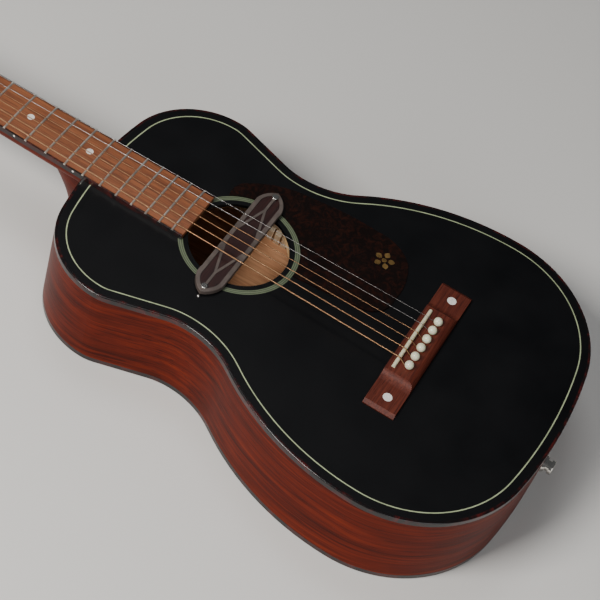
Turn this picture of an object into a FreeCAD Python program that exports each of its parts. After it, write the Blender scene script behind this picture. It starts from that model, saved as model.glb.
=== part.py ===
"""Steel-string parlor guitar with a soundhole pickup, lying on its back.

Frame: +X to the treble side, +Y to the headstock, +Z out of the top. Millimetres.
Places along the instrument are given as s, the distance from the nut's front edge
towards the tail, so a point is (x, -s, z) before the last shift to the centre.
"""
import FreeCAD, Part
import math
import os

from FreeCAD import Placement, Rotation, Vector

# ---- playing geometry -----------------------------------------------------------------------------
SCALE_LENGTH = 609.6
FRET_COUNT = 18
DOTTED_FRETS = (5, 7, 9, 12)
CROWN_RADIUS = 305.0          # crown of the board, frets, nut and saddle across the strings

# ---- body outline: half widths and arc radii ---------------------------------
BODY_START = 303.6            # the neck end of the body
UPPER_BOUT_S = 377.0
UPPER_BOUT_HALF = 118.6
UPPER_NECK_RADIUS = 69.3
UPPER_WAIST_RADIUS = 40.8
WAIST_S = 453.4
WAIST_HALF = 99.5
WAIST_UPPER_RADIUS = 66.3
LOWER_BOUT_S = 639.1
LOWER_BOUT_HALF = 160.4
LOWER_FLANK_SHARE = 0.7427     # of the sum of the flank's and the waist's lower radius
LOWER_TAIL_RADIUS = 109.0
BODY_END = 752.2
BODY_DEPTH = 89.0

# ---- plates, sides, linings and trim --------------------------------------------------------------
TOP_PLATE = 3.0
BACK_PLATE = 2.8
SIDE_WALL = 2.4
BINDING_WIDTH = 2.4
BINDING_HEIGHT = 5.5
BINDING_EDGE = 0.9
LINING_WIDTH = 6.0
LINING_HEIGHT = 15.0
LINING_BEVEL = 3.3
PURFLING_INSET = 8.9
PURFLING_WIDTH = 1.0
INLAY_DEPTH = 1.2
TAIL_WEDGE_BACK = 24.0
TAIL_WEDGE_TOP = 17.0

# ---- soundhole and rosette ------------------------------------------------------------------------
HOLE_S = 445.3
HOLE_RADIUS = 43.2
ROSETTE_INNER = 47.6
ROSETTE_OUTER = 51.9
GUARD_THICKNESS = 1.0
GUARD_GAP = 0.4
GUARD_START_X = -1.0           # where the guard's low corner leaves the rosette
GUARD_END_X = 40.0             # where its neck corner does
GUARD_CORNERS = ((58.5, 414.0), (84.2, 472.0), (88.4, 535.0), (73.0, 571.0), (32.0, 578.5), (6.0, 558.0))
GUARD_BELLIES = ((48.8, 410.6), (75.2, 438.0), (88.2, 503.0), (84.3, 557.0), (54.0, 578.0), (13.0, 573.0))

# ---- blocks and braces ----------------------------------------------------------------------------
NECK_BLOCK_HALF = 37.5
NECK_BLOCK_END = 350.0
TAIL_BLOCK_HALF = 35.0
TAIL_BLOCK_THICKNESS = 22.0
BRACE_WIDTH = 8.0
BRACE_HEIGHT = 14.0
BRACE_TIP = 3.0
BRACE_TAPER = 38.0
BRACE_GAP = 0.5               # from a brace's end to the lining
BRACE_TAPER_SHARE = 0.7        # of half a short brace's length
UPPER_BRACE_WIDTH = 12.0
LIGHT_BRACE_HEIGHT = 9.8
TONE_BAR_WIDTH = 6.0
TONE_BAR_ANGLE = 22.0
TONE_BARS = ((675.0, 160.0, 8.0), (707.0, 130.0, 12.0))    # station, length, place across
FINGER_BRACES = ((574.0, 116.0), (618.0, 133.0))           # station, place across
FINGER_BRACE_LENGTH = 34.0
FINGER_BRACE_WIDTH = 5.6
FINGER_BRACE_ANGLE = 28.0
HOLE_BRACE_LENGTH = 42.0
HOLE_BRACE_WIDTH = 4.8
HOLE_BRACE_GAP = 8.0           # from the soundhole's edge
HOLE_BRACE_SHIFT = 26.0        # towards the neck from the soundhole's middle
WIDE_BACK_BRACES_FROM = 540.0
X_CROSSING_S = 513.0
X_ANGLE = 48.0
UPPER_BRACE_S = 378.0
BRIDGE_PLATE_START = 597.0
BRIDGE_PLATE_END = 637.0
BRIDGE_PLATE_HALF = 78.0
BRIDGE_PLATE_THICKNESS = 3.0
BACK_BRACE_STATIONS = (372.0, 500.0, 590.0, 672.0)
BACK_STRIP_WIDTH = 16.0
BACK_STRIP_THICKNESS = 2.2

# ---- bridge, saddle and pins ----------------------------------------------------------------------
BRIDGE_START = 604.0
BRIDGE_END = 632.4
BRIDGE_HALF = 75.5
BRIDGE_BLOCK_HALF = 39.7
BRIDGE_BLOCK_HEIGHT = 8.2
BRIDGE_WING_START = 49.5
BRIDGE_WING_HEIGHT = 3.3
BRIDGE_TIP_HEIGHT = 1.0
BRIDGE_CHAMFER = 3.4
BRIDGE_TAIL_ROUND = 6.4
BRIDGE_SCOOP_X = 0.36           # lowest place of the scoop's sag, of its run
BRIDGE_SCOOP_Z = 0.3            # height there, of its fall
BRIDGE_DOT_X = 60.7
BRIDGE_DOT_SHIFT = 0.8         # towards the tail from the bridge's middle
BRIDGE_DOT_RADIUS = 4.0
BRIDGE_DOT_DEPTH = 1.5
SADDLE_WIDTH = 3.2
SADDLE_HALF = 35.6
SADDLE_SLOT_FLOOR = 3.0
SADDLE_TOP = 12.2             # above the top plate, on the centre line
PIN_S = 619.9
PIN_SPACING = 10.9
PIN_HEAD_RADIUS = 3.8
PIN_HEAD_RISE = 2.7           # head centre above the bridge
PIN_TIP_RADIUS = 2.2
PIN_LENGTH = 24.0
NOTCH_SHARE = 0.8              # width of the pin hole's notch, of the string's slot

# ---- neck and fingerboard -------------------------------------------------------------------------
NUT_WIDTH = 42.9
BOARD_END_WIDTH = 54.3
BOARD_END = 404.0
BOARD_THICKNESS = 6.0
BOARD_BINDING = 1.6
FRET_WIDTH = 2.0
FRET_HEIGHT = 1.1
FRET_TANG_WIDTH = 0.6
FRET_TANG_DEPTH = 1.6
FRET_SET_IN = 0.15             # fret ends inside the board's edge
FRET_CLEARANCE = 0.35         # string above the nut end of the board's frets
DOT_RADIUS = 3.2
DOT_DEPTH = 1.5
SIDE_DOT_RADIUS = 1.0
SIDE_DOT_DEPTH = 1.0
SIDE_DOT_DROP = 0.45           # below the board's edge, of its thickness
NUT_LENGTH = 6.0
NUT_RISE = 2.2                # nut top above the board
NECK_DEPTH_NUT = 15.0
NECK_DEPTH_HEEL = 17.5
HEEL_CAP = 3.0
HEEL_FOOT_HALF = 14.0
HEEL_FOOT_REACH = 15.0
HEEL_ROOT = 12.0               # how far the heel's sections run on into the body, before they are cut
HEEL_CAP_TRIM = 0.8
HEEL_LEVELS = (0.25, 0.5, 0.7)         # of the body's depth
HEEL_WIDTHS = (1.12, 1.38, 1.62)       # there, of the foot's half width
HEEL_REACHES = (1.1, 1.45, 2.1)        # there, of the foot's reach
HEEL_THROAT = (9.6, 24.2, 46.0)        # under the board: depth, half width and reach
HEEL_TOP = (25.6, 58.0)                # at the board: half width and reach
NECK_STRAIGHT = 30.0           # from the body back to where the shaft meets the heel
NECK_RUN_OUT = 26.0            # of the shaft under the headstock
ROD_NECK = 10.0                # of the rod past the nut
ROD_THIN = 0.6                 # the rod's thread below its bar
ROD_NUT_SHIFT = 3.0
TENON_HALF = 9.0
TENON_LENGTH = 14.0
TENON_MARGIN = 14.0
ROD_WIDTH = 6.0
ROD_DEPTH = 9.0
ROD_START = 6.0
ROD_END = 296.0
ROD_NUT_RADIUS = 3.5
ROD_NUT_LENGTH = 8.0
ROD_THREAD_END = 4.0           # of the channel, behind the nut
NECK_BOLT_RADIUS = 3.0
NECK_BOLT_HEAD_RADIUS = 5.0
NECK_BOLT_HEAD = 4.0
NECK_BOLT_HOLE = 3.4
NECK_BOLT_WASHER_RADIUS = 8.0
NECK_BOLT_WASHER = 1.5
NECK_BOLT_THREAD = 4.0         # into the neck
NECK_BOLT_HEIGHTS = (32.0, 62.0)

# ---- headstock, in its own frame: x, u towards the tip, v out of the face ----------
HEAD_TILT = 14.0
HEAD_DROP = 2.0               # face above the neck's gluing surface, behind the nut
HEAD_LENGTH = 166.0
HEAD_SHOULDER = 27.0
HEAD_HALF_SHOULDER = 31.5
HEAD_HALF_TIP = 35.5
HEAD_CROWN = 5.0
HEAD_FLARE = (0.28, 0.62)      # belly of the shoulder curve: of its widening, of its length
HEAD_WOOD = 12.0
VENEER = 2.0
COVER_LENGTH = 34.0
COVER_HALF_NUT = 10.0
COVER_HALF_TIP = 6.0
COVER_THICKNESS = 1.4
COVER_SCREW_RADIUS = 1.6
COVER_SCREW_RISE = 0.7
COVER_SCREW_SINK = 0.3
COVER_SCREW_EDGE = 2.8
COVER_CORNER = 2.0
COVER_GAP = 0.5                # from the nut
POCKET_LENGTH = 24.0
POCKET_DEPTH = 10.5
POCKET_HALF = 5.5

# ---- tuning machines ------------------------------------------------------------------------------
POST_STATIONS = (44.0, 84.0, 124.0)
POST_X = 23.0
POST_RADIUS = 3.0
POST_RISE = 11.0
POST_EDGE = 0.8
POST_HOLE_RADIUS = 0.9
POST_HOLE_RISE = 8.8
POST_BORE_RADIUS = 5.0
BUSHING_FLANGE_RADIUS = 5.8
BUSHING_FLANGE = 0.8
BUSHING_DEPTH = 8.0
RUNNING_FIT = 0.05            # radial, for every turning shaft
TOUCH = 0.01                   # places closer than this are one place
PLATE_THICKNESS = 1.0
PLATE_HALF_WIDTH = 7.0
PLATE_MARGIN = 20.0
GEAR_TEETH = 14
GEAR_PITCH_RADIUS = 5.0
GEAR_ADDENDUM = 0.6
GEAR_DEDENDUM = 0.8
GEAR_FACE = 2.4
GEAR_TOOTH_SHARE = 0.34       # tooth width over pitch, the rest is running room
GEAR_ROOT_SPREAD = 1.25        # tooth half width at the root, of its half width on the pitch circle
GEAR_TIP_SPREAD = 0.8
WORM_PITCH_RADIUS = 2.2
WORM_CORE_RADIUS = 1.5
WORM_CREST_RADIUS = 2.85
WORM_LENGTH = 7.6
WORM_RIDGE_ROOT = 0.9
WORM_RIDGE_TIP = 0.5
WORM_RUN_OUT = 1.6             # bare core at the two ends of the ridge
WORM_RIDGE_SINK = 0.3
SHAFT_RADIUS = 1.75
SHAFT_COLLAR_RADIUS = 2.95
SHAFT_COLLAR = (-3.0, 1.5)     # from the button's inner end
SHAFT_STUB = 1.0               # past the inner lug
LUG_THICKNESS = 2.2
LUG_HALF_WIDTH = 3.0
LUG_PLAY = 0.15
BUTTON_START = 44.0
BUTTON_LENGTH = 15.0
BUTTON_HALF_WIDTH = 8.5
BUTTON_THICKNESS = 7.0
BUTTON_EDGE = 2.6
GEAR_GAP = 2.0                # plate to gear
GEAR_SCREW_RADIUS = 2.4
GEAR_SCREW_HEAD = 1.2
PLATE_SCREW_RADIUS = 1.1
PLATE_SCREW_HEAD_RADIUS = 2.1
PLATE_SCREW_HEAD = 1.0
PLATE_SCREW_LENGTH = 9.0
PLATE_SCREW_EDGE = 0.5
PLATE_SCREW_INSET = 4.0        # from the plate's ends

# ---- strings, treble to bass ----------------------------------------------------------------------
STRING_DIAMETERS = (0.30, 0.41, 0.61, 0.81, 1.07, 1.35)
PLAIN_STRINGS = 2
NUT_SPACING = 7.1
SADDLE_SPACING = 10.4
STRING_SLOT_FIT = 0.05
BALL_RADIUS = 1.9
BALL_LENGTH = 3.6
WINDING_TURNS = 3
WINDING_RISE = 3.2            # lowest turn above the headstock face
SPLICE_GAP = 0.06

# ---- soundhole pickup -----------------------------------------------------------------------------
PICKUP_HALF_LENGTH = 66.0
PICKUP_STRAIGHT_HALF = 50.0
PICKUP_HALF_WIDTH = 12.7
PICKUP_BELLY_X = 0.58          # middle of the end arcs, of the way to the tip
PICKUP_BELLY_WIDTH = 0.665     # half width there, of the full one
PICKUP_EDGE = 0.7
PICKUP_HEIGHT = 4.2           # bezel above its underside
PICKUP_RIM = 3.9
PICKUP_RECESS = 1.6
PICKUP_INLAY = 0.8
PICKUP_RIB = 2.2
PICKUP_RIB_DROP = 0.2          # ribs below the rim's top
PICKUP_DIAMOND_HALF = 40.0
PICKUP_RIB_BEND = (0.6, 0.62)  # middle of a curved rib: along the diamond, across the opening
PICKUP_RIB_MEET = 0.2          # where it meets the rim, along the diamond
PICKUP_CASE_HALF = 37.0
PICKUP_CASE_HALF_WIDTH = 9.4
PICKUP_CASE_DEPTH = 16.0
PICKUP_BASE_HALF = 24.5
PICKUP_BASE_HALF_WIDTH = 10.9
PICKUP_BASE_DEPTH = 6.5
PICKUP_BASE_THICKNESS = 1.0
PICKUP_SCREW_X = 60.0
PICKUP_SCREW_RADIUS = 1.5
PICKUP_SCREW_HEAD_RADIUS = 2.9
PICKUP_SCREW_HEAD = 1.6
PICKUP_SCREW_SINK = 0.6        # head's depth in the rim, and the roundness of its edge
PICKUP_SCREW_FLOOR = 0.8       # bezel left under the screw
PICKUP_CASE_LIP = 2.0          # of the bezel round the case's room
PICKUP_ROOF = 1.2              # of the bezel over the case's room
PICKUP_FOOT_SHIFT = 2.0
CLAMP_HALF_WIDTH = 4.0
CLAMP_THICKNESS = 1.5
CLAMP_REACH = 24.0

# ---- end-pin jack ---------------------------------------------------------------------------------
JACK_HEIGHT = 44.0
JACK_BARREL_RADIUS = 6.0
JACK_SOCKET_RADIUS = 3.2
JACK_WASHER_RADIUS = 8.0
JACK_COLLAR_RADIUS = 7.0
JACK_WASHER = 1.5
JACK_GROOVE_RADIUS = 5.0
JACK_GROOVE = 4.5
JACK_LIP_RADIUS = 6.6
JACK_LIP = 3.2
JACK_LIP_EDGE = 0.8
JACK_COLLAR = 1.2               # flange on the washer
JACK_NUT_RADIUS = 9.0
JACK_NUT = 3.0
JACK_INNER_LENGTH = 34.0
JACK_END_WALL = 2.0            # socket's closed inner end

# ---- worked-out values ----------------------------------------------------------------------------
TOP_Z = BODY_DEPTH
TOP_UNDER = TOP_Z - TOP_PLATE
BOARD_TOP = TOP_Z + BOARD_THICKNESS
BRIDGE_TOP = TOP_Z + BRIDGE_BLOCK_HEIGHT
SADDLE_S = SCALE_LENGTH
PIN_SHAFT_RADIUS = math.sqrt(PIN_HEAD_RADIUS ** 2 - PIN_HEAD_RISE ** 2)
INNER = SIDE_WALL             # inset of the sides' inner face
LINED = SIDE_WALL + LINING_WIDTH
HEAD_THICKNESS = HEAD_WOOD + VENEER
TILT = math.radians(HEAD_TILT)
JACK_REACH = JACK_WASHER + JACK_GROOVE + JACK_LIP
HEAD_REACH = NUT_LENGTH + HEAD_LENGTH * math.cos(TILT)
TAIL_REACH = BODY_END + JACK_REACH
CENTRE_SHIFT = Vector(0, (TAIL_REACH - HEAD_REACH) / 2, 0)
GEAR_TOP = -HEAD_THICKNESS - PLATE_THICKNESS - GEAR_GAP
GEAR_MID = GEAR_TOP - GEAR_FACE / 2
WORM_OFFSET = GEAR_PITCH_RADIUS + WORM_PITCH_RADIUS
WORM_PITCH = 2 * math.pi * GEAR_PITCH_RADIUS / GEAR_TEETH
HEAD_FRAME = Placement(Vector(0, NUT_LENGTH, TOP_Z + HEAD_DROP), Rotation(Vector(1, 0, 0), -HEAD_TILT))
X = Vector(1, 0, 0)
Y = Vector(0, 1, 0)
Z = Vector(0, 0, 1)

parts = {}


# ---- small helpers --------------------------------------------------------------------------------
def at(x, s, z):
    """The point x across, s from the nut and z above the back."""
    return Vector(x, -s, z)


def box(x0, x1, s0, s1, z0, z1):
    """A box between two places across, two along and two heights."""
    return Part.makeBox(x1 - x0, s1 - s0, z1 - z0, at(x0, s1, z0))


def block(x0, x1, u0, u1, v0, v1):
    """A box in the headstock's frame."""
    return Part.makeBox(x1 - x0, u1 - u0, v1 - v0, Vector(x0, u0, v0))


def rod(radius, start, end):
    """A round bar between two points."""
    run = end - start
    return Part.makeCylinder(radius, run.Length, start, run)


def face_of(edges):
    """A flat face inside a closed run of edges."""
    return Part.Face(Part.Wire(Part.__sortEdges__(edges)))


def line(a, b):
    return Part.LineSegment(a, b).toShape()


def arc(a, middle, b):
    return Part.Arc(a, middle, b).toShape()


def polygon(points):
    return Part.Face(Part.makePolygon(list(points) + [points[0]]))


def hexagon(radius, height, base, direction):
    """A six-sided nut or bolt head; radius reaches its corners."""
    corners = [Vector(radius * math.cos(math.radians(a)), radius * math.sin(math.radians(a)), 0)
               for a in range(0, 360, 60)]
    prism = polygon(corners).extrude(Vector(0, 0, height))
    prism.Placement = Placement(base, Rotation(Z, direction))
    return prism


def round_edges(solid, radius, wanted):
    """Fillet the edges that wanted(edge) picks."""
    edges = [edge for edge in solid.Edges if wanted(edge)]
    return solid.makeFillet(radius, edges)


def on_head(shape):
    """Move a piece from the headstock's frame to its place on the neck."""
    moved = shape.copy()
    moved.Placement = HEAD_FRAME.multiply(shape.Placement)
    return moved


def together(shapes):
    """Fuse touching shapes into one clean solid."""
    whole = shapes[0].fuse(list(shapes[1:]))
    return whole.removeSplitter()


def keep(name, *shapes):
    """Store the solids of a node."""
    solids = [solid for shape in shapes for solid in shape.Solids]
    parts[name] = solids[0] if len(solids) == 1 else Part.makeCompound(solids)


# ---- body outline ---------------------------------------------------------------------------------
def end_radius(run, rise, radius):
    """Radius of an end arc centred on the axis that touches a bout's arc."""
    return (run * run + rise * rise - radius * radius) / (2 * (run - radius))


def touching_radii():
    """Radii of the lower bout's flank and of the waist's lower arc, which touch."""
    run = LOWER_BOUT_S - WAIST_S
    swell = LOWER_BOUT_HALF - WAIST_HALF
    both = (run * run + swell * swell) / (2 * swell)
    return LOWER_FLANK_SHARE * both, (1 - LOWER_FLANK_SHARE) * both


def angle_of(a, b):
    return math.atan2(b[1] - a[1], b[0] - a[0])


def straight_turn(convex, r_convex, concave, r_concave, side):
    """Angle at which a straight run leaves a convex arc for a concave one."""
    gap = math.hypot(concave[0] - convex[0], concave[1] - convex[1])
    return angle_of(convex, concave) + side * math.acos(min(1.0, (r_convex + r_concave) / gap))


def half_outline(inset):
    """Arcs of one half: centre (s, x), radius, start angle and end angle."""
    neck_r = end_radius(UPPER_BOUT_S - BODY_START, UPPER_BOUT_HALF - UPPER_NECK_RADIUS, UPPER_NECK_RADIUS)
    tail_r = end_radius(BODY_END - LOWER_BOUT_S, LOWER_BOUT_HALF - LOWER_TAIL_RADIUS, LOWER_TAIL_RADIUS)
    neck = (BODY_START + neck_r, 0.0)
    upper_neck = (UPPER_BOUT_S, UPPER_BOUT_HALF - UPPER_NECK_RADIUS)
    upper_waist = (UPPER_BOUT_S, UPPER_BOUT_HALF - UPPER_WAIST_RADIUS)
    waist_upper = (WAIST_S, WAIST_HALF + WAIST_UPPER_RADIUS)
    flank_r, hollow_r = touching_radii()
    waist_lower = (WAIST_S, WAIST_HALF + hollow_r)
    flank = (LOWER_BOUT_S, LOWER_BOUT_HALF - flank_r)
    tail_bout = (LOWER_BOUT_S, LOWER_BOUT_HALF - LOWER_TAIL_RADIUS)
    tail = (BODY_END - tail_r, 0.0)
    shoulder = angle_of(neck, upper_neck)
    hip = angle_of(tail, tail_bout)
    upper_turn = straight_turn(upper_waist, UPPER_WAIST_RADIUS, waist_upper, WAIST_UPPER_RADIUS, 1)
    lower_turn = straight_turn(flank, flank_r, waist_lower, hollow_r, -1)
    side = math.pi / 2
    return [
        (neck, neck_r - inset, math.pi, shoulder),
        (upper_neck, UPPER_NECK_RADIUS - inset, shoulder, side),
        (upper_waist, UPPER_WAIST_RADIUS - inset, side, upper_turn),
        (waist_upper, WAIST_UPPER_RADIUS + inset, upper_turn - math.pi, -side),
        (waist_lower, hollow_r + inset, -side, lower_turn - math.pi),
        (flank, flank_r - inset, lower_turn, side),
        (tail_bout, LOWER_TAIL_RADIUS - inset, side, hip),
        (tail, tail_r - inset, hip, 0.0),
    ]


def outline_edges(inset, z, side):
    """Edges of one half of the outline; side is 1 for treble and -1 for bass."""
    edges = []
    last = None
    for (centre_s, centre_x), radius, start, end in half_outline(inset):
        points = []
        for angle in (start, (start + end) / 2, end):
            x = centre_x + radius * math.sin(angle)
            points.append(at(side * x, centre_s + radius * math.cos(angle), z))
        if last is not None and last.distanceToPoint(points[0]) > TOUCH:
            edges.append(line(last, points[0]))
        edges.append(arc(*points))
        last = points[2]
    return edges


def slab(inset, z0, z1):
    """A solid of the body's outline, inset from its edge."""
    edges = outline_edges(inset, z0, 1) + outline_edges(inset, z0, -1)
    return face_of(edges).extrude(Vector(0, 0, z1 - z0))


def ring(outer, inner, z0, z1):
    """A band that follows the body's edge between two insets."""
    return slab(outer, z0, z1).cut(slab(inner, z0, z1))


def half_space(side):
    """Everything on one side of the centre line."""
    reach = 2 * LOWER_BOUT_HALF
    low = min(0, side * reach)
    return box(low, low + reach, -reach, BODY_END + reach, -reach, BODY_DEPTH + reach)


def disc(radius, x, s, z0, z1):
    return Part.makeCylinder(radius, z1 - z0, at(x, s, z0))


# ---- strings: their places decide the slots in other pieces -----------------------------------
def string_x(index, spacing):
    """Places across, from treble to bass."""
    return (2.5 - index) * spacing


def crown_drop(x):
    """How far the crowned board, frets, nut and saddle fall away beside the centre line."""
    return CROWN_RADIUS - math.sqrt(CROWN_RADIUS ** 2 - x * x)


def post_of(index):
    """Side and station of the post that a string winds on."""
    side = 1 if index < 3 else -1
    station = POST_STATIONS[index if index < 3 else 5 - index]
    return side, station


def head_local(point):
    return HEAD_FRAME.inverse().multVec(point)


def string_points(index):
    """Centre line of a string from its ball to the place where it meets its post."""
    radius = STRING_DIAMETERS[index] / 2
    nut_x = string_x(index, NUT_SPACING)
    saddle_x = string_x(index, SADDLE_SPACING)
    pin_x = string_x(index, PIN_SPACING)
    groove_s = groove_place(index)
    ball = at(pin_x, groove_s, TOP_UNDER - BRIDGE_PLATE_THICKNESS - BALL_RADIUS)
    mouth = at(pin_x, groove_s, BRIDGE_TOP - radius)
    crown = SADDLE_WIDTH / 2 + radius
    over = TOP_Z + SADDLE_TOP - crown_drop(saddle_x) + radius
    fall = math.atan2(over - mouth.z, groove_s - SADDLE_S)
    saddle = at(saddle_x, SADDLE_S + crown * math.tan(fall / 2), over)
    nut_z = BOARD_TOP + FRET_HEIGHT + FRET_CLEARANCE + radius - crown_drop(nut_x)
    nut = at(nut_x, 0, nut_z)
    return [ball, mouth, saddle, nut, winding_contact(index, nut)]


def winding_contact(index, nut):
    """Point where the string touches its winding, on the post's inner side."""
    side, station = post_of(index)
    radius = POST_RADIUS + STRING_DIAMETERS[index] / 2
    start = head_local(nut)
    run_x = side * POST_X - start.x
    run_u = station - start.y
    distance = math.hypot(run_x, run_u)
    heading = math.atan2(run_x, run_u) - side * math.asin(radius / distance)
    reach = math.sqrt(distance ** 2 - radius ** 2)
    height = WINDING_RISE + STRING_DIAMETERS[index] / 2
    end = Vector(start.x + reach * math.sin(heading), start.y + reach * math.cos(heading), height)
    return HEAD_FRAME.multVec(end)


def string_run(points, radius):
    """A string as straight runs with mitred bends."""
    section = Part.Wire(Part.makeCircle(radius, points[0], points[1] - points[0]))
    return Part.makePolygon(points).makePipeShell([section], True, False, 1)


def splice_radius(index):
    """Around the post, where the straight string ends beside its turning winding."""
    return POST_RADIUS + STRING_DIAMETERS[index] + SPLICE_GAP


def post_cylinder(index, radius):
    side, station = post_of(index)
    return on_head(Part.makeCylinder(radius, 4 * POST_RISE, Vector(side * POST_X, station, -POST_RISE)))


def make_strings():
    """Six strings; returns the slots they need in the pieces they pass through."""
    strings = []
    slots = []
    for index, diameter in enumerate(STRING_DIAMETERS):
        points = string_points(index)
        ball = points[0]
        middle = ball + Y * (BALL_RADIUS - diameter / 2)
        barrel = rod(BALL_RADIUS, middle - X * (BALL_LENGTH / 2), middle + X * (BALL_LENGTH / 2))
        run = string_run(points, diameter / 2).fuse(barrel)
        strings.append(run.cut(post_cylinder(index, splice_radius(index))))
        slots.append(string_run(points, diameter / 2 + STRING_SLOT_FIT))
    keep("plain_strings", *strings[:PLAIN_STRINGS])
    keep("wound_strings", *strings[PLAIN_STRINGS:])
    return slots


# ---- body -----------------------------------------------------------------------------------------
def neck_block_space():
    return box(-NECK_BLOCK_HALF, NECK_BLOCK_HALF, 0, NECK_BLOCK_END, 0, BODY_DEPTH)


def tail_block_space():
    inner_face = BODY_END - SIDE_WALL - TAIL_BLOCK_THICKNESS
    return box(-TAIL_BLOCK_HALF, TAIL_BLOCK_HALF, inner_face, BODY_END, 0, BODY_DEPTH)


def tail_wedge_space():
    """The end graft between the two sides, wider at the back."""
    far = BODY_END + SIDE_WALL
    face = polygon([at(-TAIL_WEDGE_BACK / 2, far, 0), at(TAIL_WEDGE_BACK / 2, far, 0),
                    at(TAIL_WEDGE_TOP / 2, far, TOP_Z), at(-TAIL_WEDGE_TOP / 2, far, TOP_Z)])
    return face.extrude(Y * TAIL_BLOCK_THICKNESS)


def rounded_band(z0, z1, outer_z):
    """Binding whose outer corner at outer_z is rounded."""
    def outer_corner(edge):
        return abs(edge.BoundBox.ZMin - outer_z) < TOUCH and abs(edge.BoundBox.ZMax - outer_z) < TOUCH
    solid = round_edges(slab(0, z0, z1), BINDING_EDGE, outer_corner)
    return solid.cut(slab(BINDING_WIDTH, z0, z1))


def groove_place(index):
    """Station of a string beside its pin's shaft."""
    return PIN_S - PIN_SHAFT_RADIUS - STRING_SLOT_FIT - STRING_DIAMETERS[index] / 2


def pin_holes():
    """Round holes for the pins, each notched on the saddle side for its string."""
    holes = []
    low = TOP_UNDER - PIN_LENGTH
    for index, diameter in enumerate(STRING_DIAMETERS):
        x = string_x(index, PIN_SPACING)
        half = NOTCH_SHARE * (diameter / 2 + STRING_SLOT_FIT)
        notch = box(x - half, x + half, groove_place(index), PIN_S, low, BRIDGE_TOP)
        holes.append(disc(PIN_SHAFT_RADIUS, x, PIN_S, low, BRIDGE_TOP).fuse(notch))
    return holes


def make_body(slots, jack_hole):
    """Top, back, sides, blocks, linings, bindings and inlays."""
    floor = TOP_Z - INLAY_DEPTH
    purfling = ring(PURFLING_INSET, PURFLING_INSET + PURFLING_WIDTH, floor, TOP_Z)
    rosette = disc(ROSETTE_OUTER, 0, HOLE_S, floor, TOP_Z).cut(disc(ROSETTE_INNER, 0, HOLE_S, floor, TOP_Z))
    hole = disc(HOLE_RADIUS, 0, HOLE_S, TOP_UNDER, TOP_Z)
    top = slab(BINDING_WIDTH, TOP_UNDER, TOP_Z)
    keep("top", top.cut([purfling, rosette, hole] + pin_holes() + slots))
    keep("top_purfling", purfling)
    keep("rosette", rosette)
    keep("back", slab(BINDING_WIDTH, 0, BACK_PLATE))
    top_binding = rounded_band(TOP_Z - BINDING_HEIGHT, TOP_Z, TOP_Z)
    back_binding = rounded_band(0, BINDING_HEIGHT, 0)
    keep("top_binding", top_binding)
    keep("back_binding", back_binding)

    wall = ring(0, SIDE_WALL, 0, TOP_Z)
    plates = [slab(BINDING_WIDTH, 0, BACK_PLATE), slab(BINDING_WIDTH, TOP_UNDER, TOP_Z)]
    bands = [ring(0, BINDING_WIDTH, 0, BINDING_HEIGHT), ring(0, BINDING_WIDTH, TOP_Z - BINDING_HEIGHT, TOP_Z)]
    wall = wall.cut(plates + bands + [jack_hole, tenon_space()])
    wedge = tail_wedge_space()
    keep("tail_wedge", wall.common(wedge))
    rims = wall.cut(wedge)
    keep("treble_side", rims.common(half_space(1)))
    keep("bass_side", rims.common(half_space(-1)))

    inside = slab(INNER, BACK_PLATE, TOP_UNDER).cut(bands)
    keep("neck_block", inside.common(neck_block_space()).cut([tenon_space()] + neck_bolt_holes()))
    keep("tail_block", inside.common(tail_block_space()).cut(jack_hole))
    blocks = [neck_block_space(), tail_block_space()]
    for name, z0, z1, flat in (("back_linings", BACK_PLATE, BACK_PLATE + LINING_HEIGHT, BACK_PLATE),
                               ("top_linings", TOP_UNDER - LINING_HEIGHT, TOP_UNDER, TOP_UNDER)):
        strip = ring(INNER, LINED, z0, z1).cut(blocks + bands)
        slope = [edge for edge in strip.Edges if is_lining_corner(edge, z0 + z1 - flat)]
        keep(name, strip.makeChamfer(LINING_BEVEL, slope))


def is_lining_corner(edge, z):
    """Edges of the lining's free corner, inside the body and away from its own ends."""
    if abs(edge.BoundBox.ZMin - z) > TOUCH or abs(edge.BoundBox.ZMax - z) > TOUCH:
        return False
    middle = edge.valueAt((edge.FirstParameter + edge.LastParameter) / 2)
    near_neck = abs(middle.x) < NECK_BLOCK_HALF + LINING_WIDTH and -middle.y < NECK_BLOCK_END
    near_tail = abs(middle.x) < TAIL_BLOCK_HALF + TOUCH and -middle.y > LOWER_BOUT_S
    if near_neck and abs(abs(middle.x) - NECK_BLOCK_HALF) < TOUCH:
        return False
    if near_tail:
        return False
    return inset_of(middle) > INNER + LINING_WIDTH / 2


def inset_of(point):
    """Distance of a point from the body's edge."""
    edge = Part.Wire(Part.__sortEdges__(outline_edges(0, point.z, 1) + outline_edges(0, point.z, -1)))
    return edge.distToShape(Part.Vertex(point))[0]


# ---- braces ---------------------------------------------------------------------------------------
def brace(length, width, height, z_wood, up, tip=BRACE_TIP, taper=BRACE_TAPER):
    """A bar along X on a plate; up is 1 on the back and -1 under the top. Its ends are scooped down."""
    half = length / 2
    taper = min(taper, half * BRACE_TAPER_SHARE)
    profile = [Vector(-half, 0, 0), Vector(half, 0, 0), Vector(half, 0, up * tip),
               Vector(half - taper, 0, up * height), Vector(-half + taper, 0, up * height),
               Vector(-half, 0, up * tip)]
    bar = polygon(profile).extrude(Y * width)
    bar.translate(Vector(0, -width / 2, z_wood))
    return bar


def turned(shape, x, s, angle):
    """Turn a bar about its middle and put it at a place on the plate."""
    moved = shape.copy()
    moved.Placement = Placement(at(x, s, 0), Rotation(Z, angle)).multiply(shape.Placement)
    return moved


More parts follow.
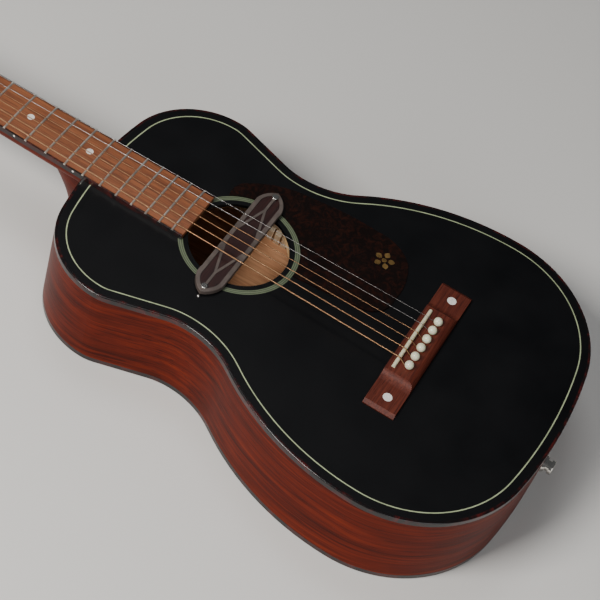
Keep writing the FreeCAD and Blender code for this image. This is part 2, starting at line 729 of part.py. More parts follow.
def make_braces():
    """Bracing of the top and of the back."""
    room = slab(LINED + BRACE_GAP, 0, TOP_Z)
    arm = brace(3 * LOWER_BOUT_HALF, BRACE_WIDTH, BRACE_HEIGHT, TOP_UNDER, -1)
    arms = [turned(arm, 0, X_CROSSING_S, turn * (90 - X_ANGLE)).common(room) for turn in (-1, 1)]
    notch_z = TOP_UNDER - BRACE_HEIGHT / 2
    crossing = arms[0].common(arms[1]).BoundBox
    middle = box(crossing.XMin, crossing.XMax, -crossing.YMax, -crossing.YMin, 0, TOP_Z)
    upper_half = box(-LOWER_BOUT_HALF, LOWER_BOUT_HALF, 0, BODY_END, notch_z, TOP_Z).common(middle)
    lower_half = middle.cut(upper_half)
    first = arms[0].cut(arms[1].common(lower_half))
    second = arms[1].cut(arms[0].common(upper_half))
    keep("x_brace_treble_foot", first)
    keep("x_brace_bass_foot", second)

    upper = brace(2 * UPPER_BOUT_HALF, UPPER_BRACE_WIDTH, BRACE_HEIGHT, TOP_UNDER, -1)
    upper = turned(upper, 0, UPPER_BRACE_S, 0)
    keep("upper_brace", upper.common(room))

    small = []
    for s, length, x in TONE_BARS:
        bar = brace(length, TONE_BAR_WIDTH, LIGHT_BRACE_HEIGHT, TOP_UNDER, -1)
        small.append(turned(bar, x, s, TONE_BAR_ANGLE))
    for side in (-1, 1):
        for s, x in FINGER_BRACES:
            bar = brace(FINGER_BRACE_LENGTH, FINGER_BRACE_WIDTH, BRACE_HEIGHT / 2, TOP_UNDER, -1)
            small.append(turned(bar, side * x, s, -side * FINGER_BRACE_ANGLE))
        hole_bar = brace(HOLE_BRACE_LENGTH, HOLE_BRACE_WIDTH, BRACE_HEIGHT / 2, TOP_UNDER, -1)
        small.append(turned(hole_bar, side * (HOLE_RADIUS + HOLE_BRACE_GAP), HOLE_S - HOLE_BRACE_SHIFT, 90))
    keep("tone_bars", *[bar.common(room).cut([first, second, upper, tail_block_space()]) for bar in small])

    back_bars = []
    for s in BACK_BRACE_STATIONS:
        width = BRACE_WIDTH if s < WIDE_BACK_BRACES_FROM else BRACE_WIDTH * 2
        bar = turned(brace(3 * LOWER_BOUT_HALF, width, BRACE_HEIGHT, BACK_PLATE, 1), 0, s, 0)
        back_bars.append(bar.common(room))
    keep("back_braces", *back_bars)
    strip = box(-BACK_STRIP_WIDTH / 2, BACK_STRIP_WIDTH / 2, NECK_BLOCK_END + BRACE_GAP,
                BODY_END - SIDE_WALL - TAIL_BLOCK_THICKNESS - BRACE_GAP, BACK_PLATE,
                BACK_PLATE + BACK_STRIP_THICKNESS)
    keep("back_centre_strip", strip.cut(back_bars))


# ---- bridge ---------------------------------------------------------------------------------------
def bridge_side_profile():
    """Bridge seen along the strings: block, scooped steps, thin wings, bevelled tips."""
    z = TOP_Z
    wing_end = BRIDGE_HALF - BRIDGE_CHAMFER
    scoop_run = BRIDGE_WING_START - BRIDGE_BLOCK_HALF
    edges = [line(at(-BRIDGE_HALF, 0, z), at(BRIDGE_HALF, 0, z)),
             line(at(-BRIDGE_BLOCK_HALF, 0, BRIDGE_TOP), at(BRIDGE_BLOCK_HALF, 0, BRIDGE_TOP))]
    for side in (-1, 1):
        foot = at(side * BRIDGE_HALF, 0, z)
        tip = at(side * BRIDGE_HALF, 0, z + BRIDGE_TIP_HEIGHT)
        wing = at(side * wing_end, 0, z + BRIDGE_WING_HEIGHT)
        root = at(side * BRIDGE_WING_START, 0, z + BRIDGE_WING_HEIGHT)
        top = at(side * BRIDGE_BLOCK_HALF, 0, BRIDGE_TOP)
        sag_x = BRIDGE_BLOCK_HALF + BRIDGE_SCOOP_X * scoop_run
        sag_z = z + BRIDGE_WING_HEIGHT + BRIDGE_SCOOP_Z * (BRIDGE_BLOCK_HEIGHT - BRIDGE_WING_HEIGHT)
        edges += [line(foot, tip), line(tip, wing), line(wing, root)]
        edges.append(arc(root, at(side * sag_x, 0, sag_z), top))
    return face_of(edges)


def bridge_end_profile():
    """Bridge seen from its end: square front, long round tail edge."""
    r = min(BRIDGE_TAIL_ROUND, BRIDGE_BLOCK_HEIGHT - 0.5)
    back = BRIDGE_END
    shoulder = r * (1 - math.sqrt(0.5))
    x = -BRIDGE_HALF
    return face_of([
        line(at(x, BRIDGE_START, TOP_Z), at(x, back, TOP_Z)),
        line(at(x, back, TOP_Z), at(x, back, BRIDGE_TOP - r)),
        arc(at(x, back, BRIDGE_TOP - r), at(x, back - shoulder, BRIDGE_TOP - shoulder),
            at(x, back - r, BRIDGE_TOP)),
        line(at(x, back - r, BRIDGE_TOP), at(x, BRIDGE_START, BRIDGE_TOP)),
        line(at(x, BRIDGE_START, BRIDGE_TOP), at(x, BRIDGE_START, TOP_Z)),
    ])


def crowned_bar(s, width, crown, top_z, low_z, half_length):
    """A bar across the strings whose top follows the crown and is rounded along its length."""
    middle_z = top_z - CROWN_RADIUS
    shoulder = top_z - crown
    edges = [line(at(0, s - width / 2, low_z), at(0, s + width / 2, low_z)),
             line(at(0, s - width / 2, low_z), at(0, s - width / 2, shoulder)),
             line(at(0, s + width / 2, low_z), at(0, s + width / 2, shoulder)),
             arc(at(0, s - width / 2, shoulder), at(0, s, top_z), at(0, s + width / 2, shoulder))]
    spread = math.degrees(math.asin(min(1.0, (half_length + 8) / CROWN_RADIUS)))
    profile = face_of(edges)
    profile.rotate(at(0, 0, middle_z), Y, -spread)
    return profile.revolve(at(0, 0, middle_z), Y, 2 * spread)


def saddle_slot_floor():
    return TOP_Z + SADDLE_SLOT_FLOOR


def make_bridge(slots):
    """Bridge with its saddle, pins and the plate under the top; returns the dots in its wings."""
    body = bridge_side_profile().extrude(at(0, BRIDGE_END, 0) - at(0, 0, 0))
    body = body.common(bridge_end_profile().extrude(X * (2 * BRIDGE_HALF)))
    saddle_space = box(-SADDLE_HALF, SADDLE_HALF, SADDLE_S - SADDLE_WIDTH / 2, SADDLE_S + SADDLE_WIDTH / 2,
                       saddle_slot_floor(), BRIDGE_TOP + SADDLE_TOP)
    dots = []
    for side in (-1, 1):
        dot_top = TOP_Z + BRIDGE_WING_HEIGHT
        middle = (BRIDGE_START + BRIDGE_END) / 2 + BRIDGE_DOT_SHIFT
        dots.append(disc(BRIDGE_DOT_RADIUS, side * BRIDGE_DOT_X, middle, dot_top - BRIDGE_DOT_DEPTH, dot_top))
    keep("bridge", body.cut([saddle_space] + dots + pin_holes() + slots))
    bar = crowned_bar(SADDLE_S, SADDLE_WIDTH, SADDLE_WIDTH / 2, TOP_Z + SADDLE_TOP, TOP_Z, SADDLE_HALF)
    keep("saddle", bar.common(saddle_space).cut(slots))

    plate = box(-BRIDGE_PLATE_HALF, BRIDGE_PLATE_HALF, BRIDGE_PLATE_START, BRIDGE_PLATE_END,
                TOP_UNDER - BRIDGE_PLATE_THICKNESS, TOP_UNDER)
    keep("bridge_plate", plate.cut(pin_holes() + slots))
    keep("bridge_pins", *[bridge_pin(string_x(i, PIN_SPACING)) for i in range(len(slots))])
    return dots


def bridge_pin(x):
    """Ball head that closes down to the shaft at the bridge's surface."""
    head_z = BRIDGE_TOP + PIN_HEAD_RISE
    low = TOP_UNDER - BRIDGE_PLATE_THICKNESS
    tip = BRIDGE_TOP - PIN_LENGTH
    top = Vector(x, -PIN_S, head_z + PIN_HEAD_RADIUS)
    bulge = Vector(x + PIN_HEAD_RADIUS, -PIN_S, head_z)
    collar = Vector(x + PIN_SHAFT_RADIUS, -PIN_S, BRIDGE_TOP)
    straight = Vector(x + PIN_SHAFT_RADIUS, -PIN_S, low)
    end = Vector(x + PIN_TIP_RADIUS, -PIN_S, tip)
    foot = Vector(x, -PIN_S, tip)
    edges = [arc(top, bulge, collar), line(collar, straight), line(straight, end), line(end, foot)]
    edges.append(line(foot, top))
    return face_of(edges).revolve(foot, Z, 360)


# ---- soundhole pickup -----------------------------------------------------------------------------
def boat_face(half_length, straight_half, half_width, z):
    """Long outline with straight flanks and pointed, arched ends."""
    edges = []
    for side in (-1, 1):
        edges.append(line(at(-straight_half, HOLE_S + side * half_width, z),
                          at(straight_half, HOLE_S + side * half_width, z)))
        for end in (-1, 1):
            shoulder = at(end * straight_half, HOLE_S + side * half_width, z)
            tip = at(end * half_length, HOLE_S, z)
            belly_x = straight_half + PICKUP_BELLY_X * (half_length - straight_half)
            belly = at(end * belly_x, HOLE_S + side * half_width * PICKUP_BELLY_WIDTH, z)
            edges.append(arc(shoulder, belly, tip))
    return face_of(edges)


def pickup_opening(z0, z1):
    """The space inside the rim."""
    half_length, half_width = PICKUP_HALF_LENGTH - PICKUP_RIM, PICKUP_HALF_WIDTH - PICKUP_RIM
    inner = boat_face(half_length, PICKUP_STRAIGHT_HALF, half_width, z0)
    return inner.extrude(Z * (z1 - z0))


def pickup_ribs(opening, z0, z1):
    """Lattice: a bar from each tip that splits round a long central diamond."""
    ribs = []
    reach = PICKUP_HALF_WIDTH - PICKUP_RIM
    for end in (-1, 1):
        ribs.append(box(min(end * PICKUP_DIAMOND_HALF, end * PICKUP_HALF_LENGTH),
                        max(end * PICKUP_DIAMOND_HALF, end * PICKUP_HALF_LENGTH),
                        HOLE_S - PICKUP_RIB / 2, HOLE_S + PICKUP_RIB / 2, z0, z1))
        for side in (-1, 1):
            start = (end * (PICKUP_DIAMOND_HALF + PICKUP_RIB), HOLE_S)
            along, across = PICKUP_RIB_BEND
            middle = (end * PICKUP_DIAMOND_HALF * along, HOLE_S + side * reach * across)
            finish = (end * PICKUP_DIAMOND_HALF * PICKUP_RIB_MEET, HOLE_S + side * (reach + PICKUP_RIB / 2))
            ribs.append(curved_rib(start, middle, finish, z0, z1))
    return together(ribs).common(opening)


def curved_rib(start, middle, finish, z0, z1):
    """A rib of constant width along the arc through three places."""
    path = arc(*[at(x, s, z0) for x, s in (start, middle, finish)])
    centre = path.Curve.Center
    first, last = path.FirstParameter, path.LastParameter
    sides = []
    for offset in (-PICKUP_RIB / 2, PICKUP_RIB / 2):
        points = []
        for place in (first, (first + last) / 2, last):
            spoke = path.valueAt(place) - centre
            points.append(centre + spoke * ((spoke.Length + offset) / spoke.Length))
        sides.append(points)
    edges = [arc(*sides[0]), arc(*sides[1]), line(sides[0][0], sides[1][0]), line(sides[0][2], sides[1][2])]
    return face_of(edges).extrude(Z * (z1 - z0))


def make_pickup():
    """Pickup that spans the soundhole and clamps on the top's edge at both tips."""
    under = TOP_Z + GUARD_THICKNESS
    top = under + PICKUP_HEIGHT
    recess = top - PICKUP_RECESS
    plate = boat_face(PICKUP_HALF_LENGTH, PICKUP_STRAIGHT_HALF, PICKUP_HALF_WIDTH, under)
    plate = plate.extrude(Z * PICKUP_HEIGHT)
    plate = round_edges(plate, PICKUP_EDGE, lambda edge: abs(edge.BoundBox.ZMin - top) < TOUCH)
    foot = disc(PICKUP_HALF_WIDTH / 2, -PICKUP_SCREW_X + PICKUP_FOOT_SHIFT, HOLE_S, TOP_Z, under)
    opening = pickup_opening(recess, top)
    ribs = pickup_ribs(opening, recess, top - PICKUP_RIB_DROP)
    screws = []
    screw_holes = []
    for side in (-1, 1):
        x = side * PICKUP_SCREW_X
        seat = top - PICKUP_SCREW_SINK
        shank = disc(PICKUP_SCREW_RADIUS, x, HOLE_S, under + PICKUP_SCREW_FLOOR, top)
        head = disc(PICKUP_SCREW_HEAD_RADIUS, x, HOLE_S, seat, seat + PICKUP_SCREW_HEAD)
        head = round_edges(head, PICKUP_SCREW_SINK, lambda edge: edge.BoundBox.ZMin > top)
        screws.append(shank.fuse(head))
        head_room = disc(PICKUP_SCREW_HEAD_RADIUS, x, HOLE_S, seat, top + PICKUP_HEIGHT)
        screw_holes.append(shank.fuse(head_room))
    case_room = PICKUP_CASE_HALF_WIDTH - PICKUP_CASE_LIP
    bezel = plate.cut(opening.cut(ribs)).cut(box(-PICKUP_CASE_HALF, PICKUP_CASE_HALF, HOLE_S - case_room,
                                                 HOLE_S + case_room, under, recess - PICKUP_ROOF))
    bezel = bezel.fuse(foot).cut(screw_holes)
    inlay = opening.common(box(-PICKUP_HALF_LENGTH, PICKUP_HALF_LENGTH, HOLE_S - PICKUP_HALF_WIDTH,
                               HOLE_S + PICKUP_HALF_WIDTH, recess, recess + PICKUP_INLAY))
    inlay = inlay.cut([ribs] + screw_holes)
    keep("pickup_bezel", bezel)
    keep("pickup_inlays", inlay)

    case_z = under - PICKUP_CASE_DEPTH
    case = box(-PICKUP_CASE_HALF, PICKUP_CASE_HALF, HOLE_S - PICKUP_CASE_HALF_WIDTH,
               HOLE_S + PICKUP_CASE_HALF_WIDTH, case_z, under)
    flange_z = TOP_Z - PICKUP_BASE_DEPTH
    base = box(-PICKUP_BASE_HALF, PICKUP_BASE_HALF, HOLE_S - PICKUP_BASE_HALF_WIDTH,
               HOLE_S + PICKUP_BASE_HALF_WIDTH, flange_z - PICKUP_BASE_THICKNESS, flange_z)
    keep("pickup_case", case.cut(base))
    keep("pickup_base", base)

    clamps = []
    for side in (-1, 1):
        low = TOP_UNDER - CLAMP_THICKNESS
        ends = sorted((side * PICKUP_CASE_HALF, side * (PICKUP_CASE_HALF + CLAMP_REACH)))
        tab = box(ends[0], ends[1], HOLE_S - CLAMP_HALF_WIDTH, HOLE_S + CLAMP_HALF_WIDTH, low, TOP_UNDER)
        clamps.append(tab)
    keep("pickup_clamps", *clamps)
    keep("pickup_screws", *screws)


def make_pickguard():
    """Teardrop guard from the rosette towards the bridge on the treble side."""
    r = ROSETTE_OUTER + GUARD_GAP
    meet_low = (GUARD_START_X, HOLE_S + math.sqrt(r * r - GUARD_START_X ** 2))
    meet_left = (GUARD_END_X, HOLE_S - math.sqrt(r * r - GUARD_END_X ** 2))
    halfway = math.radians(40)
    runs = [(meet_low, (r * math.sin(halfway), HOLE_S + r * math.cos(halfway)), meet_left)]
    start = meet_left
    for belly, corner in zip(GUARD_BELLIES, GUARD_CORNERS):
        runs.append((start, belly, corner))
        start = corner
    edges = [arc(*[at(x, s, TOP_Z) for x, s in run]) for run in runs]
    edges.append(line(at(start[0], start[1], TOP_Z), at(meet_low[0], meet_low[1], TOP_Z)))
    return face_of(edges).extrude(Z * GUARD_THICKNESS)


# ---- neck -----------------------------------------------------------------------------------------
def board_half(s):
    """Half width of the bound fingerboard at a place."""
    return (NUT_WIDTH + (BOARD_END_WIDTH - NUT_WIDTH) * s / BOARD_END) / 2


def board_plan(trim, s0, s1, z0, z1):
    """Tapered strip of the fingerboard's plan, trimmed inwards on both sides."""
    corners = [at(-board_half(s0) + trim, s0, z0), at(board_half(s0) - trim, s0, z0),
               at(board_half(s1) - trim, s1, z0), at(-board_half(s1) + trim, s1, z0)]
    return polygon(corners).extrude(Z * (z1 - z0))


def binding_strip(side):
    """Strip along one edge of the fingerboard."""
    corners = []
    for s, trim in ((0, 0), (BOARD_END, 0), (BOARD_END, BOARD_BINDING), (0, BOARD_BINDING)):
        corners.append(at(side * (board_half(s) - trim), s, TOP_Z))
    return polygon(corners).extrude(Z * BOARD_THICKNESS)


def crown_solid(rise):
    """Cylinder along the neck whose top is the crowned surface, raised by rise."""
    radius = CROWN_RADIUS + rise
    return Part.makeCylinder(radius, 2 * BOARD_END, at(0, 1.5 * BOARD_END, BOARD_TOP - CROWN_RADIUS), Y)


def fret_s(number):
    return SCALE_LENGTH * (1 - 2 ** (-number / 12))


def half_round(half_width, depth, s, top_z):
    """Cross-section of the neck: flat top, half-ellipse below."""
    long_axis, short_axis = (half_width, depth) if half_width >= depth else (depth, half_width)
    major = at(long_axis, s, top_z) if half_width >= depth else at(0, s, top_z - long_axis)
    minor = at(0, s, top_z - short_axis) if half_width >= depth else at(short_axis, s, top_z)
    ellipse = Part.Ellipse(major, minor, at(0, s, top_z))
    start = ellipse.parameter(at(half_width, s, top_z))
    end = ellipse.parameter(at(-half_width, s, top_z))
    lower = Part.ArcOfEllipse(ellipse, start, end)
    middle = lower.value((lower.FirstParameter + lower.LastParameter) / 2)
    if middle.z > top_z:
        lower = Part.ArcOfEllipse(ellipse, end, start)
    return Part.Wire([lower.toShape(), line(lower.EndPoint, lower.StartPoint)])


def heel_section(z, half_width, reach):
    """Horizontal slice of the heel: half an ellipse that grows out of the body."""
    root = BODY_START + HEEL_ROOT
    depth = reach + HEEL_ROOT
    points = []
    for step in range(9):
        angle = math.pi * step / 8
        points.append(at(half_width * math.cos(angle), root - depth * math.sin(angle), z))
    curve = Part.BSplineCurve()
    curve.interpolate(points)
    return Part.Wire([curve.toShape(), line(points[-1], points[0])])


def tenon_space():
    return box(-TENON_HALF, TENON_HALF, BODY_START - 1.0, BODY_START + SIDE_WALL + TENON_LENGTH,
               TENON_MARGIN, TOP_UNDER - TENON_MARGIN)


def neck_bolt_holes():
    return [rod(NECK_BOLT_HOLE, at(0, BODY_START, z), at(0, NECK_BLOCK_END, z)) for z in NECK_BOLT_HEIGHTS]


def head_outline(v0, v1, trim=0.0):
    """Plan of the headstock: flared shoulders, straight sides, gently crowned tip."""
    nut_half = NUT_WIDTH / 2 - trim
    tip = HEAD_LENGTH - trim
    shoulder_mid = (nut_half + HEAD_FLARE[0] * (HEAD_HALF_SHOULDER - NUT_WIDTH / 2),
                    HEAD_SHOULDER * HEAD_FLARE[1])
    edges = [line(Vector(-nut_half, 0, v0), Vector(nut_half, 0, v0))]
    for side in (-1, 1):
        low = Vector(side * nut_half, 0, v0)
        middle = Vector(side * shoulder_mid[0], shoulder_mid[1], v0)
        shoulder = Vector(side * (HEAD_HALF_SHOULDER - trim), HEAD_SHOULDER, v0)
        corner = Vector(side * (HEAD_HALF_TIP - trim), tip - HEAD_CROWN, v0)
        edges += [arc(low, middle, shoulder), line(shoulder, corner)]
    edges.append(arc(Vector(-HEAD_HALF_TIP + trim, tip - HEAD_CROWN, v0), Vector(0, tip, v0),
                     Vector(HEAD_HALF_TIP - trim, tip - HEAD_CROWN, v0)))
    return face_of(edges).extrude(Vector(0, 0, v1 - v0))


def rod_pocket():
    """Access pocket for the truss-rod nut, in the headstock's frame."""
    return block(-POCKET_HALF, POCKET_HALF, 1.0, POCKET_LENGTH, -POCKET_DEPTH, 0)


def post_bores():
    return [Part.makeCylinder(POST_BORE_RADIUS, HEAD_THICKNESS, Vector(side * POST_X, u, -HEAD_THICKNESS))
            for side in (-1, 1) for u in POST_STATIONS]


def make_neck():
    """Neck with heel and headstock, fingerboard, frets, inlays, nut and rod."""
    rear = -NUT_LENGTH
    near_heel = BODY_START - NECK_STRAIGHT
    inside = BODY_START + HEEL_ROOT
    sections = [half_round(NUT_WIDTH / 2, NECK_DEPTH_NUT, rear - NECK_RUN_OUT, TOP_Z),
                half_round(NUT_WIDTH / 2, NECK_DEPTH_NUT, 0, TOP_Z),
                half_round(board_half(near_heel), NECK_DEPTH_HEEL, near_heel, TOP_Z)]
    shaft = Part.makeLoft(sections[1:], True)
    tail = Part.makeLoft([sections[0], sections[1]], True)
    stub = Part.makeLoft([half_round(board_half(near_heel), NECK_DEPTH_HEEL, near_heel, TOP_Z),
                          half_round(board_half(inside), NECK_DEPTH_HEEL, inside, TOP_Z)], True)
    foot_z = HEEL_CAP
    throat_drop, throat_half, throat_reach = HEEL_THROAT
    slices = [(foot_z, HEEL_FOOT_HALF, HEEL_FOOT_REACH)]
    for level, width, reach in zip(HEEL_LEVELS, HEEL_WIDTHS, HEEL_REACHES):
        slices.append((TOP_Z * level, HEEL_FOOT_HALF * width, HEEL_FOOT_REACH * reach))
    slices += [(TOP_Z - throat_drop, throat_half, throat_reach), (TOP_Z, *HEEL_TOP)]
    heel = Part.makeLoft([heel_section(*row) for row in slices], True)
    wide = 2 * HEAD_HALF_TIP
    above = on_head(block(-wide, wide, 0, wide, -VENEER, wide))
    wood = on_head(head_outline(-HEAD_THICKNESS, -VENEER))
    bridge_wedge = box(-NUT_WIDTH / 2, NUT_WIDTH / 2, rear, 0, TOP_Z - NECK_DEPTH_NUT / 2, TOP_Z)
    tail = tail.cut(above)
    tenon = tenon_space()
    handle = together([shaft, tail, stub, heel, wood, bridge_wedge])
    handle = handle.cut(slab(0, 0, TOP_Z))
    handle = handle.fuse(tenon.common(slab(0, 0, TOP_Z)).fuse(tenon.cut(slab(0, 0, TOP_Z)).common(heel)))
    channel = box(-ROD_WIDTH / 2, ROD_WIDTH / 2, rear - ROD_THREAD_END, ROD_END, TOP_Z - ROD_DEPTH, TOP_Z)
    bolt_threads = [rod(NECK_BOLT_RADIUS, at(0, BODY_START - NECK_BOLT_THREAD, z), at(0, NECK_BLOCK_END, z))
                    for z in NECK_BOLT_HEIGHTS]
    cuts = [channel, on_head(rod_pocket())] + [on_head(bore) for bore in post_bores()] + bolt_threads
    nut_room = box(-NUT_WIDTH, NUT_WIDTH, rear, 0, TOP_Z, 2 * TOP_Z)
    handle = handle.cut(cuts + [nut_room, on_head(head_outline(-VENEER, POST_RISE))])
    keep("neck", handle.removeSplitter())

    cap = Part.makeLoft([heel_section(0, HEEL_FOOT_HALF - HEEL_CAP_TRIM, HEEL_FOOT_REACH - HEEL_CAP_TRIM),
                         heel_section(foot_z, HEEL_FOOT_HALF, HEEL_FOOT_REACH)], True)
    keep("heel_cap", cap.cut(slab(0, 0, TOP_Z)))

    veneer = head_outline(-VENEER, 0).cut([rod_pocket()] + post_bores())
    keep("headstock_veneer", on_head(veneer).cut(nut_room))

    bar = box(-ROD_WIDTH / 2, ROD_WIDTH / 2, ROD_START, ROD_END, TOP_Z - ROD_DEPTH, TOP_Z)
    axis_z = TOP_Z - ROD_DEPTH / 2
    stem = rod(ROD_WIDTH / 2 - ROD_THIN, at(0, ROD_START, axis_z), at(0, rear - ROD_NECK, axis_z))
    rod_nut = hexagon(ROD_NUT_RADIUS, ROD_NUT_LENGTH, at(0, rear - ROD_NUT_SHIFT, axis_z), Y)
    keep("truss_rod", bar.fuse([stem, rod_nut]))

    cover_outline = polygon([Vector(-COVER_HALF_NUT, COVER_GAP, 0), Vector(COVER_HALF_NUT, COVER_GAP, 0),
                             Vector(COVER_HALF_TIP, COVER_LENGTH, 0),
                             Vector(-COVER_HALF_TIP, COVER_LENGTH, 0)])
    cover = cover_outline.extrude(Z * COVER_THICKNESS)
    cover = round_edges(cover, COVER_CORNER,
                        lambda edge: edge.BoundBox.ZLength > 1 and edge.BoundBox.YMin > 1)
    screws = []
    side_x = COVER_HALF_NUT - COVER_SCREW_EDGE
    tip_u = COVER_LENGTH - COVER_SCREW_EDGE
    for x, u in ((-side_x, COVER_SCREW_EDGE), (side_x, COVER_SCREW_EDGE), (0, tip_u)):
        head = Part.makeCylinder(COVER_SCREW_RADIUS, COVER_SCREW_RISE,
                                 Vector(x, u, COVER_THICKNESS - COVER_SCREW_SINK))
        screws.append(head)
    keep("truss_rod_cover", on_head(cover.cut(screws)))
    return [on_head(screw) for screw in screws]


def make_fingerboard(slots, bridge_dots):
    """Board, binding, frets and nut, and the node of all the pearl dots."""
    crown = crown_solid(0)
    blank = board_plan(BOARD_BINDING, 0, BOARD_END, TOP_Z, BOARD_TOP).common(crown)
    strips = [binding_strip(side).common(crown) for side in (-1, 1)]
    frets = []
    for number in range(1, FRET_COUNT + 1):
        s = fret_s(number)
        head = crowned_bar(s, FRET_WIDTH, FRET_HEIGHT, BOARD_TOP + FRET_HEIGHT, BOARD_TOP - FRET_TANG_DEPTH,
                           BOARD_END_WIDTH / 2)
        low, high = s - FRET_WIDTH, s + FRET_WIDTH
        head = head.common(board_plan(FRET_SET_IN, low, high, TOP_Z, BOARD_TOP + 2 * FRET_HEIGHT))
        tang = box(-BOARD_END_WIDTH, BOARD_END_WIDTH, s - FRET_TANG_WIDTH / 2, s + FRET_TANG_WIDTH / 2,
                   TOP_Z, BOARD_TOP + FRET_HEIGHT)
        tang = tang.common(board_plan(BOARD_BINDING, low, high, TOP_Z, BOARD_TOP + FRET_HEIGHT))
        below = head.common(crown)
        frets.append(head.cut(crown).fuse(below.common(tang)).removeSplitter())
    dots = []
    side_dots = []
    for number in DOTTED_FRETS:
        s = (fret_s(number) + fret_s(number - 1)) / 2
        dots.append(disc(DOT_RADIUS, 0, s, BOARD_TOP - DOT_DEPTH, BOARD_TOP).common(crown))
        edge = -board_half(s)
        z = BOARD_TOP - BOARD_THICKNESS * SIDE_DOT_DROP
        peg = rod(SIDE_DOT_RADIUS, at(edge - SIDE_DOT_DEPTH, s, z), at(edge + SIDE_DOT_DEPTH, s, z))
        side_dots.append(peg.common(strips[0]))
    keep("fingerboard", blank.cut(dots + frets))
    keep("fingerboard_binding", strips[0].cut(side_dots), strips[1])
    keep("frets", *frets)
    keep("pearl_dots", *dots, *side_dots, *bridge_dots)
    nut = board_plan(0, -NUT_LENGTH, 0, TOP_Z, BOARD_TOP + NUT_RISE).common(crown_solid(NUT_RISE))
    keep("nut", nut.cut(slots))


def make_neck_bolts():
    """Two bolts with washers that pull the neck's tenon into its block."""
    bolts = []
    for z in NECK_BOLT_HEIGHTS:
        face = NECK_BLOCK_END
        shank = rod(NECK_BOLT_RADIUS, at(0, BODY_START - NECK_BOLT_THREAD, z), at(0, face, z))
        washer = rod(NECK_BOLT_WASHER_RADIUS, at(0, face, z), at(0, face + NECK_BOLT_WASHER, z))
        head = hexagon(NECK_BOLT_HEAD_RADIUS, NECK_BOLT_HEAD, at(0, face + NECK_BOLT_WASHER, z), -Y)
        bolts.append(together([shank, washer, head]))
    keep("neck_bolts", *bolts)


# ---- end-pin jack ---------------------------------------------------------------------------------
def jack_bore():
    inner = BODY_END - SIDE_WALL - TAIL_BLOCK_THICKNESS
    return rod(JACK_BARREL_RADIUS, at(0, inner, JACK_HEIGHT), at(0, BODY_END + 1.0, JACK_HEIGHT))


def make_jack():
    """Strap button with a signal socket through it, held by a nut inside the tail block."""
    inner = BODY_END - SIDE_WALL - TAIL_BLOCK_THICKNESS
    flange = BODY_END + JACK_WASHER
    lip = flange + JACK_GROOVE
    end = lip + JACK_LIP
    inner_end = inner - JACK_INNER_LENGTH
    barrel = rod(JACK_BARREL_RADIUS, at(0, inner_end, JACK_HEIGHT), at(0, BODY_END, JACK_HEIGHT))
    groove = rod(JACK_GROOVE_RADIUS, at(0, BODY_END, JACK_HEIGHT), at(0, end, JACK_HEIGHT))
    rim = rod(JACK_LIP_RADIUS, at(0, lip, JACK_HEIGHT), at(0, end, JACK_HEIGHT))
    rim = round_edges(rim, JACK_LIP_EDGE, lambda edge: edge.BoundBox.YMax < -end + TOUCH)
    collar = rod(JACK_COLLAR_RADIUS, at(0, flange, JACK_HEIGHT), at(0, flange + JACK_COLLAR, JACK_HEIGHT))
    socket = rod(JACK_SOCKET_RADIUS, at(0, inner_end + JACK_END_WALL, JACK_HEIGHT), at(0, end, JACK_HEIGHT))
    keep("end_pin_jack", together([barrel, groove, rim, collar]).cut(socket))
    washer = rod(JACK_WASHER_RADIUS, at(0, BODY_END, JACK_HEIGHT), at(0, flange, JACK_HEIGHT))
    hex_nut = hexagon(JACK_NUT_RADIUS, JACK_NUT, at(0, inner, JACK_HEIGHT), Y)
    core = rod(JACK_BARREL_RADIUS, at(0, inner - JACK_NUT, JACK_HEIGHT), at(0, inner, JACK_HEIGHT))
    stem = rod(JACK_GROOVE_RADIUS, at(0, BODY_END, JACK_HEIGHT), at(0, end, JACK_HEIGHT))
    keep("end_pin_nuts", washer.cut(stem).cut(slab(0, 0, TOP_Z)), hex_nut.cut(core))


# ---- tuning machines ------------------------------------------------------------------------------
def gear_blank():
    """Toothed wheel about the local v axis, with a gap between teeth facing +u."""
    pitch_angle = 2 * math.pi / GEAR_TEETH
    half_tooth = GEAR_TOOTH_SHARE * pitch_angle / 2
    outer = GEAR_PITCH_RADIUS + GEAR_ADDENDUM
    root = GEAR_PITCH_RADIUS - GEAR_DEDENDUM
    flank = ((root, -GEAR_ROOT_SPREAD), (outer, -GEAR_TIP_SPREAD))
    other_flank = ((outer, GEAR_TIP_SPREAD), (root, GEAR_ROOT_SPREAD))
    low = GEAR_MID - GEAR_FACE / 2
    points = []
    for tooth in range(GEAR_TEETH):
        middle = math.pi / 2 + pitch_angle * (tooth + 0.5)
        for radius, spread in flank + other_flank:
            angle = middle + spread * half_tooth
            points.append(Vector(radius * math.cos(angle), radius * math.sin(angle), low))
    return polygon(points).extrude(Z * GEAR_FACE)


